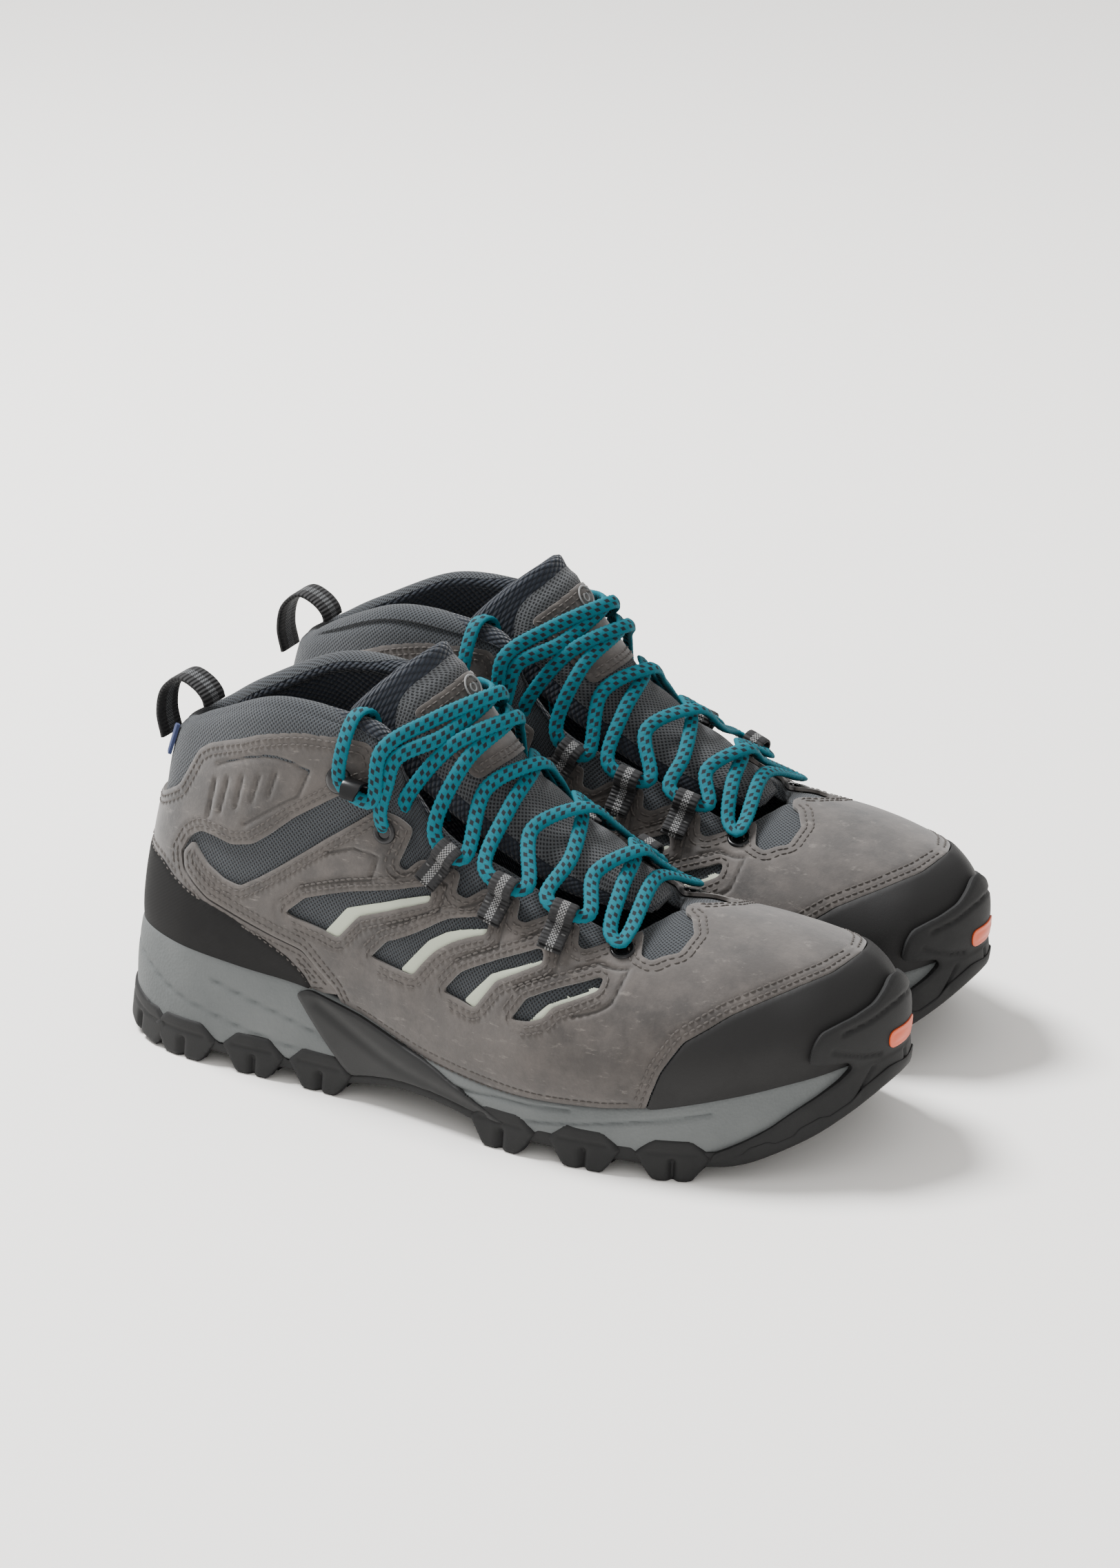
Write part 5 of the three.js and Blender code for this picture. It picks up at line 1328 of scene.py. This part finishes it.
def build_hook(foot, side, where, metal):
    """A bent metal lip that narrows to its end, and its rivet."""
    at, forward, up, out = frame_on(skin, side * HOOK_AT[0], HOOK_AT[1], SEAT)
    lip = [[-5.5, 0.8], [-2, 0.8], [0.6, 1.0], [1.6, 2.2], [1.9, 4.6], [1.6, 7.0], [0.4, 8.4],
           [-1.6, 9.2], [-3.6, 9.4]]
    taper = ([0, 0.3, 0.55, 0.8, 1], [1.1, 1.0, 0.8, 0.8, 0.62])
    points, faces, _ = ribbon(lip, at, (up, out, forward), HOOK_WIDTH, 1.5, taper)
    heelward = -forward * side
    rivet_at = at + heelward * 8.5 - up * 1.5 - out * 0.9
    rivet = dome(rivet_at, out, forward, RIVET_RADIUS, RIVET_HEIGHT)
    points, faces = merged([(points, faces), rivet])
    make_piece(f"lace_hook_{where}", foot, "boot", points, faces, metal, (f"hook_{where}",))


def build_eyelets(foot, side, where, metal):
    """The highest and the lowest eyelet of one side: a rim and a dark floor."""
    parts = []
    for s, t, radius in EYELETS:
        at, forward, _, out = frame_on(skin, side * s, t, FIT + LEATHER + 0.1)
        floor = dome(at - out * 0.4, out, forward, radius - 0.3, 0.5)
        parts += [collar(at, out, forward, radius, EYELET_WIRE), floor]
    points, faces = merged(parts)
    make_piece(f"eyelets_{where}", foot, "boot", points, faces, metal)


PULL_ROUTE = [[8, 111.5], [6.3, 121], [8.5, 130.5], [15.5, 136], [22.5, 133.5], [26.3, 129.5],
              [27.2, 126.5]]
PULL_WIDTH, PULL_WALL = 14, 1.8


def build_pull(foot, finish, label):
    """The pull strap over the heel, and the small label beside it, which folds over the seam on the boot and
    is drawn here as a flat tab on one side of it.
    """
    axes = (np.array([1.0, 0, 0]), np.array([0, 0, 1.0]), np.array([0, 1.0, 0]))
    points, faces, uv = ribbon(PULL_ROUTE, np.zeros(3), axes, PULL_WIDTH, PULL_WALL)
    make_piece("pull_strap", foot, "pull_body", points, faces, finish, ("pull_loop",), uv)
    tab = Cut(skin, [(0.62, 5.3), (0.62, 5.95), (0.92, 5.95), (0.92, 5.3)], np.linspace(0.55, 1.0, 16),
              np.linspace(5.2, 6, 24), SEAT - 0.6, 1.5, radius=0.8)
    tab.channels = ()
    tab.build("side_label", foot, "boot", label, ("label_tab",))


# Lace

# Where each hold of the lace touches the boot, as [s, t, height], from the lowest eyelet up to the hook
HOLDS = [[[10.35, 5.75, ON_EYELET], [10.1, 5.5, ON_EYELET], [9.8, 5.7, ON_EYELET]]]
HOLDS += [[[s + 0.33, t + 0.2, IN_LOOP], [s, t, IN_LOOP], [s - 0.33, t + 0.2, IN_LOOP]] for s, t in LOOPS]
HOLDS += [[[5.75, 5.75, 1.5], [5.3, 5.1, -0.5], [5.03, 4.78, 1.8], [5.0, 5.0, ON_EYELET],
           [5.12, 5.5, ON_EYELET + 0.6], [5.3, 6, OVER_EDGE]],
          [[5.02, 5.95, OVER_EDGE + 1], [4.85, 5.15, IN_HOOK], [4.55, 5.11, IN_HOOK],
           [4.3, 5.25, IN_HOOK - 0.6], [4.32, 5.7, OVER_EDGE + 1.2]]]
LACE_LOW = LACE_DIAMETER / 2 + 2.6
FLANK = 0.8
PATCH_RISE = LEATHER + 1.7
CROSSING_SPREADS = (0.3, 0.36, 0.25, 0.2, 0.2)
CROSSING_RISES = (0, 0, 0, PATCH_RISE, PATCH_RISE)
LACE_HALF_WIDTH, LACE_HALF_HEIGHT = 2.75, 1.3
LACE_STEP = 0.75
YARN_PITCH, YARN_SWELL = 1.9, 0.10
SPLINE_STEPS = 40
OVER_COLLAR = ((4.38, 0.25), (4.45, 0.5), (4.52, 0.78))
DOWN_INSIDE = ((4.58, 5.5), (4.62, 4.7), (4.66, 3.9))
TUCK_GAP = 2.6


def on_chart(chart, s, t, offset):
    """One point on a chart and the way out of it there."""
    at = chart(np.array([s]), np.array([t]), offset)[0]
    return at, unit(chart(np.array([s]), np.array([t]), offset + 1)[0] - at)


def lace_half(side, first_over):
    """From the lowest eyelet up to a hook, changing sides at each crossing, as (point, up) pairs."""
    route = []
    for k, hold in enumerate(HOLDS):
        here = -side if k % 2 else side
        route += [on_chart(skin, here * s, t, height) for s, t, height in hold]
        if k + 1 < len(HOLDS):
            v, spread, low = CROSSING_PLACES[k], CROSSING_SPREADS[k], LACE_LOW + CROSSING_RISES[k]
            over = (k % 2 == 0) == first_over
            route += [on_chart(tongue_point, v - spread, here * FLANK, low),
                      on_chart(tongue_point, v, 0.0, low + (LACE_DIAMETER if over else 0)),
                      on_chart(tongue_point, v + spread, -here * FLANK, low)]
    return route


def tucked(side):
    """From the hook over the collar and down between it and the tongue."""
    route = []
    for s, share in OVER_COLLAR:
        s, turn = np.array([side * s]), np.array([share * np.pi])
        depth = INNER_DEPTH + pad_depth(s, TOP_LEVEL)
        low, high = [top_point(s, np.full(1, lift), turn, depth, collar_roll(s))[0] for lift in (1.8, 2.8)]
        route.append((low, unit(high - low)))
    for s, t in DOWN_INSIDE:
        at, out = on_chart(skin, side * s, t, -INNER_DEPTH - COLLAR_PAD - TUCK_GAP)
        route.append((at, -out))
    return route


def build_lace(foot, finish):
    """One flat lace through both sides, each end tucked in past its hook.

    An ellipse swept along a smooth curve through the holds; it swells by two sine waves that run round
    it opposite ways, as a braid's yarns do.
    """
    tuck = -1 if foot == "right" else 1
    last = -1 if len(HOLDS) % 2 == 0 else 1
    far = lace_half(tuck, True) + tucked(last * tuck)
    near = lace_half(-tuck, False) + tucked(-last * tuck)
    route = far[::-1] + [on_chart(tongue_point, 0.75, 0.0, LACE_LOW)] + near
    points, ups = np.array([p for p, _ in route]), np.array([u for _, u in route])
    fine = centripetal(points, SPLINE_STEPS)
    knots = np.arange(len(points)) * SPLINE_STEPS
    run = lengths(fine)
    marks = np.linspace(0, run[-1], int(run[-1] / LACE_STEP))
    line = along(fine, marks)
    number = np.interp(marks, run, np.arange(len(fine)))
    up = np.stack([np.interp(number, knots, column) for column in ups.T], -1)
    tangent = unit(np.gradient(line, axis=0))
    up = unit(up - (up * tangent).sum(1)[:, None] * tangent)
    aside = np.cross(up, tangent)
    turn = np.linspace(0, 2 * np.pi, 19)[:-1]
    wide, high = np.cos(turn), np.sin(turn)
    yarns = marks[:, None] * 2 * np.pi / YARN_PITCH
    wave = YARN_SWELL * np.sin(yarns + 2 * turn) + YARN_SWELL * np.sin(yarns - 2 * turn)
    rings = line[:, None] + (LACE_HALF_WIDTH + wave)[..., None] * wide[:, None] * aside[:, None]
    rings = rings + (LACE_HALF_HEIGHT + wave)[..., None] * high[:, None] * up[:, None]
    points, faces = tube(rings)
    around = np.abs(turn / (2 * np.pi) - 0.5) * 2 * LACE_FACE
    uv = np.stack([np.repeat(marks, len(turn)), np.tile(around, len(marks))], -1)
    uv = np.concatenate([uv, [[0, 0], [marks[-1], 0]]])
    piece = make_piece("lace_cord", foot, "boot", points, faces, finish, ("lace",), uv, sharp=80)


# Sole

def tread_bottom(x):
    """The height of the outsole's underside between its lugs."""
    return table(TREAD_BOTTOM, x)


def flare(s):
    """How far the sole stands out beyond the upper."""
    return table(FLARE, np.abs(s))


def sole_edge(s, level, offset, height):
    """Beside the sole: offset measured flat from the skin at that level, at the height worked out there."""
    s = np.asarray(s, float)
    p, n = half_point(s, level), half_normal(s, level)
    flat = np.maximum(np.hypot(n[..., 0], n[..., 1]), 1e-9)
    x = p[..., 0] + n[..., 0] / flat * offset
    q = np.where(np.abs(p[..., 1]) < 1e-6, 0, p[..., 1] + n[..., 1] / flat * offset)
    return np.stack([x, q + table(CENTRE_LINE, x), height(x, p[..., 2])], -1)


def midsole_side(s, u, offset=0.0):
    """The midsole's side: u is 0 at the outsole and 1 at the rim, and it bulges a little between."""
    s, u, offset = as_grids(s, u, offset)
    push = flare(s) * (1 - u) + (FIT + RIM) * u + 0.9 * np.sin(np.pi * np.clip(u, 0, 1)) + offset
    return sole_edge(s, 1, push, lambda x, z: (tread_bottom(x) + TREAD + 0.3) * (1 - u) + z * u)


SIDE_GROOVES = [[(0.35, 0.78), (1.2, 0.62), (2.2, 0.40), (3.2, 0.24), (4.3, 0.13)],
                [(2.6, 0.72), (3.2, 0.62), (3.9, 0.5), (4.5, 0.42)],
                [(8.9, 0.35), (10.2, 0.62), (11.6, 0.72), (13.0, 0.75)],
                [(7.6, 0.5), (8.4, 0.78), (9.6, 0.86)]]
SIDE_SINK, SIDE_WIDTH = 0.8, 0.7
TOP_ROUND, FOOT_ROUND = 1.5, 0.8


def build_midsole(foot, foam):
    """Rings of the side, sunk along the grooves and rounded at both edges, then the well for the foot."""
    s = np.linspace(-LAST_RIB, LAST_RIB, 700, endpoint=False)
    levels = np.concatenate([[0.0, 0.02, 0.05], np.linspace(0.09, 0.9, 18), [0.94, 0.975, 1.0]])
    rings = []
    sunk = []
    for u in levels:
        spread = np.full(len(s), u)
        gap = np.full(len(s), 4.0)
        for line in SIDE_GROOVES:
            for side in (1, -1):
                groove = [(side * a, b) for a, b in line]
                gap = np.minimum(gap, line_distance(midsole_side, groove, s, spread))
        sink = np.exp(-(gap / SIDE_WIDTH) ** 2)
        rim = TOP_ROUND * (1 - np.sqrt(1 - np.clip((u - 0.9) / 0.1, 0, 1) ** 2))
        rim = rim + FOOT_ROUND * np.clip(1 - u / 0.05, 0, 1) ** 2
        rings.append(midsole_side(s, spread, -SIDE_SINK * sink - rim))
        sunk.append(sink)
    rings += [skin(s, 1.0, 0.3), skin(s, 0.5, 0.2), skin(s, 0.0, 0.0)]
    sunk += [0 * s] * 3
    points, faces = loft(rings)
    # The sink into the side grooves goes with the midsole, for the foam's painted shade in them
    make_piece("foam_midsole", foot, "boot", points, faces, foam, ("midsole",), None,
               np.concatenate(sunk))


SHANK_SIDE = [(3.9, 0.9), (4.1, 1.0), (7.0, 1.0), (7.3, 0.9), (8.6, 0.05), (8.4, 0.0), (4.9, 0.0),
              (4.75, 0.12)]
SHANK_CREASE = [(4.3, 0.86), (5.2, 0.62), (6.3, 0.38), (7.6, 0.2), (8.2, 0.08)]


def build_shank(foot, plastic):
    """A creased wing on each side of the arch, and the plate between them under the sole."""
    for where, side in (("outer", 1), ("inner", -1)):
        line = [(side * s, u * 0.97) for s, u in SHANK_SIDE]
        span = even_axis(midsole_side, side * 3.8, side * 8.8, 0.5, 0.9)
        crease = ([(side * s, u) for s, u in SHANK_CREASE], 0.7, 2.2)
        wing = Cut(midsole_side, line, span, np.linspace(-0.05, 1.0, 36), -0.8, 2.2, grooves=(crease,))
        wing.channels = ()
        stands = ("arch_shank",) if side > 0 else ()
        wing.build(f"arch_wing_{where}", foot, "boot", plastic, stands)
    s = np.linspace(4.6, 8.3, 40)
    rows = []
    for lift in (0.0, 1.6):
        outer = sole_edge(s, 1, flare(s) - 1, lambda x, z: tread_bottom(x) + TREAD - 0.6 + lift)
        inner = sole_edge(-s, 1, flare(s) - 1, lambda x, z: tread_bottom(x) + TREAD - 0.6 + lift)
        share = np.linspace(0, 1, 20)[None, :, None]
        rows.append(outer[:, None] * (1 - share) + inner[:, None] * share)
    points, faces = wall(rows[1], rows[0])
    make_piece("arch_plate", foot, "boot", points, faces, plastic)


SIDE_LUGS = [[24, 20, 14, 30], [57, 17, 22, 39.5], [86, 18, 22, 38.5], [168, 18, 27, 44.5], [201, 18, 32, 52],
             [234, 16, 30, 50]]
HEEL_LUG = [-1, 23]
CENTRE_LUGS = [[46, 12, 14], [74, 12, 14], [150, 12, 16], [186, 13, 20], [218, 13, 22], [252, 12, 18]]
CHAMFER, LUG_TAPER = 1.2, 1.5


def lug(x, length, low, high):
    """A tapered block from the ground into the tread, with its lower edges cut off at a slant."""
    root = float(tread_bottom(x + length / 2)) + 2.0
    rings = []
    for z, spread in ((0, -LUG_TAPER / 2 - CHAMFER), (CHAMFER, -LUG_TAPER / 2), (root, LUG_TAPER / 2)):
        x0, x1 = x - spread, x + length + spread
        q0, q1 = low - spread, high + spread
        rings.append([[x0, q0, z], [x1, q0, z], [x1, q1, z], [x0, q1, z]])
    return tube(rings)


def sole_wall(s, z, offset=0.0):
    """The side of the sole at height z, leaning in as it rises."""
    s, z, offset = as_grids(s, z, offset)
    lean = 0.12 * (z - 9)
    return sole_edge(s, 1, flare(s) + offset - lean, lambda x, level: z + np.maximum(tread_bottom(x) - 7, 0))


def rib_at(x):
    """The chart position whose sole edge lies at x."""
    s = np.linspace(0.05, LAST_RIB, 300)
    return float(np.interp(x, sole_edge(s, 1, flare(s), lambda a, b: a)[:, 0], s))


def lug_face(side, start, end):
    """A lug's six-sided outer face, standing proud of the sole's side, with a notch up its middle."""
    low, top, shoulder, spread = 0.3, 15.5, 9.5, 5.0
    corners = [(start + 1.5, low), (start - spread, shoulder), (start + 1.5, top), (end - 1.5, top),
               (end + spread, shoulder), (end - 1.5, low)]
    outline = [(side * rib_at(x), z) for x, z in corners]
    middle = side * rib_at((start + end) / 2)
    notch = ([(middle, -2.0), (middle, shoulder - 2.5)], 2.2, 1.3)
    crest = ([(side * rib_at(start), shoulder + 1), (side * rib_at(end), shoulder + 1)], 0.5, 0.6)
    reach = sorted((side * rib_at(start - spread - 1), side * rib_at(end + spread + 1)))
    span = even_axis(sole_wall, *reach, 8.0, 0.8)
    face = Cut(sole_wall, outline, span, np.linspace(0, 16.5, 24), -3.0, 4.6, grooves=(notch, crest),
               radius=1.0)
    face.channels = ()
    s, z, _, keep, height = face.surfaces()
    return wall(sole_wall(s, z, height), sole_wall(s, z, face.base), keep)


def zigzag(x, pitch=15.0):
    """0 to 1 and back along the boot, the outsole's top edge."""
    return np.abs((x / pitch) % 1 * 2 - 1)


def build_outsole(foot, rubber):
    """A sheet under the sole whose top edge zigzags, with lugs under it and faces on its side lugs."""
    s = np.linspace(-LAST_RIB, LAST_RIB, 640, endpoint=False)
    wrap_on = (WRAP + FIT) * smooth(np.abs(s), 12.6, 13.6)
    waist = smooth(np.abs(s), 3.6, 4.4) * (1 - smooth(np.abs(s), 7.6, 8.6))
    level_rise = (1 - waist) * 2.4

    def ring(inset_by, height):
        """The sheet's edge, drawn in by so much, at that height."""
        return sole_edge(s, 1, flare(s) + wrap_on - inset_by, height)

    def top(x, z):
        """The zigzag top edge, flat at the waist."""
        return tread_bottom(x) + TREAD - 0.2 + level_rise * (0.25 + 0.75 * smooth(zigzag(x), 0.3, 0.7))

    rings = [ring(4.0, lambda x, z: tread_bottom(x)), ring(1.6, lambda x, z: tread_bottom(x)),
             ring(0.4, lambda x, z: tread_bottom(x) + 0.5), ring(0.0, lambda x, z: tread_bottom(x) + 1.4),
             ring(-0.5, lambda x, z: top(x, z) - 0.7), ring(-0.2, top), ring(2.0, top),
             ring(3.0, lambda x, z: tread_bottom(x) + TREAD - 0.3)]
    points, faces = loft(rings)
    parts = [(points, faces)]
    for x, length, low, high in SIDE_LUGS:
        shift = float(table(CENTRE_LINE, x + length / 2))
        half = length / 2 - 1.2
        for side in (1, -1):
            a, b = sorted((side * low + shift, side * high + shift))
            parts.append(lug(x, half, a, b))
            parts.append(lug(x + length - half, half, a + (3 if side < 0 else 0), b - (3 if side > 0 else 0)))
            middle = sorted((side * low + shift, side * (high - 4) + shift))
            parts.append(lug(x + half - 1, 4.4, *middle))
    for x, length, reach in CENTRE_LUGS:
        shift = float(table(CENTRE_LINE, x + length / 2))
        parts.append(lug(x, length, shift - reach, shift + reach))
    for x, length in [row[:2] for row in SIDE_LUGS] + [HEEL_LUG]:
        parts += [lug_face(side, x, x + length) for side in (1, -1)]
    points, faces = merged(parts)
    make_piece("lugged_outsole", foot, "boot", points, faces, rubber, ("outsole",))


GUARD = [(13.0, 0.12), (14.0, 0.35), (14.56, 0.55), (14.76, 0.62), (15.10, 0.78), (15.26, 0.95),
         (15.23, 1.29), (14.93, 1.49), (14.65, 1.72), (14.75, 2.40), (14.88, 2.79), (15.31, 3.04),
         (15.58, 3.34), (15.89, 4.08)]


def guard_face(s, v, offset=0.0):
    """Up the front of the sole (v from 0 to 1) and on up the toe cap (v is then the skin's level)."""
    s, v, offset = as_grids(s, v, offset)
    inner = np.where(s > LAST_RIB, s - ROUND, s)
    share = np.clip(v, 0, 1)
    low = sole_edge(inner, 1, flare(inner) * (1 - 0.2 * share) + FIT + offset,
                    lambda x, z: (tread_bottom(x) + TREAD - 1) * (1 - share) + z * share)
    high = skin(s, np.maximum(v, 0.8), FIT + RAND + FIT + offset)
    way = smooth(v, 0.75, 1.35)[..., None]
    return low * (1 - way) + high * way


def build_guard(foot, rubber, emblem):
    """The bumper up the front of the toe, with pressed ridges, and the badge on it."""
    half = [(13.0, -0.2)] + GUARD
    outline = half + [(16, 4.15)] + past_toe(half)
    ridge = [[(16, -0.1), (16, 0.7)], [(15.3, 0.1), (15.5, 0.75)], [(16.7, 0.1), (16.5, 0.75)]]
    arch = [(15.15, 2.55), (15.5, 2.75), (15.75, 3.05), (16, 3.2), (16.25, 3.05), (16.5, 2.75), (16.85, 2.55)]
    dip = [(15.0, 2.0), (15.4, 1.35), (15.62, 1.2)]
    lines = ridge + [arch, dip, past_toe(dip)]
    grooves = [(line, 0.9, 0.7) for line in lines]
    guard = Cut(guard_face, outline, even_axis(guard_face, 12.8, ROUND - 12.8, 0.6, 0.8),
                np.concatenate([np.linspace(-0.3, 1, 24)[:-1], even_levels(guard_face, 16, 1, 4.3, 0.7)]),
                -0.3, WRAP + 0.4, grooves=grooves, radius=2)
    guard.channels = ()
    guard.build("toe_bumper", foot, "boot", rubber)
    badge = Cut(guard_face, [(15.72, 1.25), (15.72, 2.0), (16.28, 2.0), (16.28, 1.25)],
                np.linspace(15.6, 16.4, 40), np.linspace(1.15, 2.1, 40), WRAP - 0.4, 1.3, radius=3)
    badge.channels = (1.5,)
    badge.build("toe_badge", foot, "boot", emblem, ("toe_emblem",))


# The cushion's profile as [inset, height], from its underside round to its dished top
FOOTBED_RIM = [(1.2, 2.6), (0.0, 4.0), (0.0, 7.2), (0.8, 8.2), (2.6, 7.9), (5.0, 7.5)]


def build_footbed(foot, foam):
    """A flat cushion that stands up at its rim, inside the lining."""
    s = np.linspace(-LAST_RIB, LAST_RIB, 260, endpoint=False)
    depth = INNER_DEPTH + STIFFENER + 0.6
    rings = [sole_edge(s, 0, -depth - inset_by, lambda x, z, rise=rise: z + rise)
             for inset_by, rise in FOOTBED_RIM]
    points, faces = loft(rings)
    piece = make_piece("cushion_footbed", foot, "boot", points, faces, foam, ("footbed",))


# Build

HIDDEN = {"shank_plate": "shank", "lasting_board": "board", "collar_padding": "padding",
          "heel_counter": "board", "toe_puff": "board"}


def make_finishes():
    """Every finish of the pair by the name of what it covers."""
    return {
        "leather": nubuck(),
        "thread": plain_finish("thread", (0.060, 0.0525, 0.048), 0.8, 3000, 0.00004),
        "mesh": open_mesh("upper_mesh", (0.036, 0.042, 0.049), (0.006, 0.007, 0.009)),
        "tongue_mesh": open_mesh("tongue_weave", (0.060, 0.064, 0.069), (0.006, 0.007, 0.009), 1.35),
        "knit": waffle_knit(),
        "cap": moulded_rubber("toe_rubber", (0.0065, 0.0063, 0.0065), 0.62),
        "band": ribbed_rubber("band_rubber", (0.0065, 0.0063, 0.0065)),
        "tread": moulded_rubber("tread_rubber", (0.0085, 0.0087, 0.009), 0.7, 0.0001),
        "foam": sole_foam(),
        "shank": moulded_rubber("shank_plastic", (0.0085, 0.0087, 0.009), 0.5),
        "accent": plain_finish("pale_accent", (0.36, 0.39, 0.31), 0.6),
        "orange": plain_finish("orange_badge", (0.50, 0.060, 0.008), 0.45),
        "grey": plain_finish("grey_print", (0.20, 0.20, 0.20), 0.6),
        "metal": plain_finish("dark_metal", (0.012, 0.012, 0.013), 0.24, 2000, 0.00001, Metallic=0.5),
        "loops": webbing("loop_webbing", (0.20, 0.20, 0.20), 1.4, LOOP_WIDTH),
        "pull": webbing("pull_webbing", (0.10, 0.105, 0.11), 2.2, PULL_WIDTH),
        "white_thread": plain_finish("grey_thread", (0.06, 0.06, 0.06), 0.7),
        "label": plain_finish("blue_label", (0.018, 0.028, 0.085), 0.8, 2500, 0.00008),
        "footbed": plain_finish("footbed_foam", (0.025, 0.04, 0.055), 0.9),
        "board": plain_finish("fibre_board", (0.40, 0.33, 0.22), 0.9),
        "padding": plain_finish("foam_padding", (0.5, 0.47, 0.4), 0.95),
        "lace": braid(),
    }


def build_pair():
    """All the pieces of both boots, and finishes for the solids that stay as the frame has them."""
    f = make_finishes()
    for foot in FEET:
        build_lace(foot, f["lace"])
        build_mesh(foot, f["mesh"])
        build_lining(foot, f["knit"])
        build_leather(foot, f["leather"], f["thread"])
        build_accents(foot, f["accent"])
        build_rubber_cap(foot, f["cap"], f["band"])
        build_tongue(foot, f["knit"], f["tongue_mesh"], f["leather"], f["thread"], f["grey"])
        build_midsole(foot, f["foam"])
        build_shank(foot, f["shank"])
        build_outsole(foot, f["tread"])
        build_guard(foot, f["tread"], f["orange"])
        build_footbed(foot, f["footbed"])
        build_pull(foot, f["pull"], f["label"])
        for where, side in (("outer", 1), ("inner", -1)):
            build_hook(foot, side, where, f["metal"])
            build_eyelets(foot, side, where, f["metal"])
            for k in range(len(LOOPS)):
                build_loop(foot, side, where, k, f["loops"], f["white_thread"])
        for node, finish in HIDDEN.items():
            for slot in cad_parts[f"{foot}_{node}"].material_slots:
                slot.material = f[finish]


add_camera()
add_stage()
build_pair()
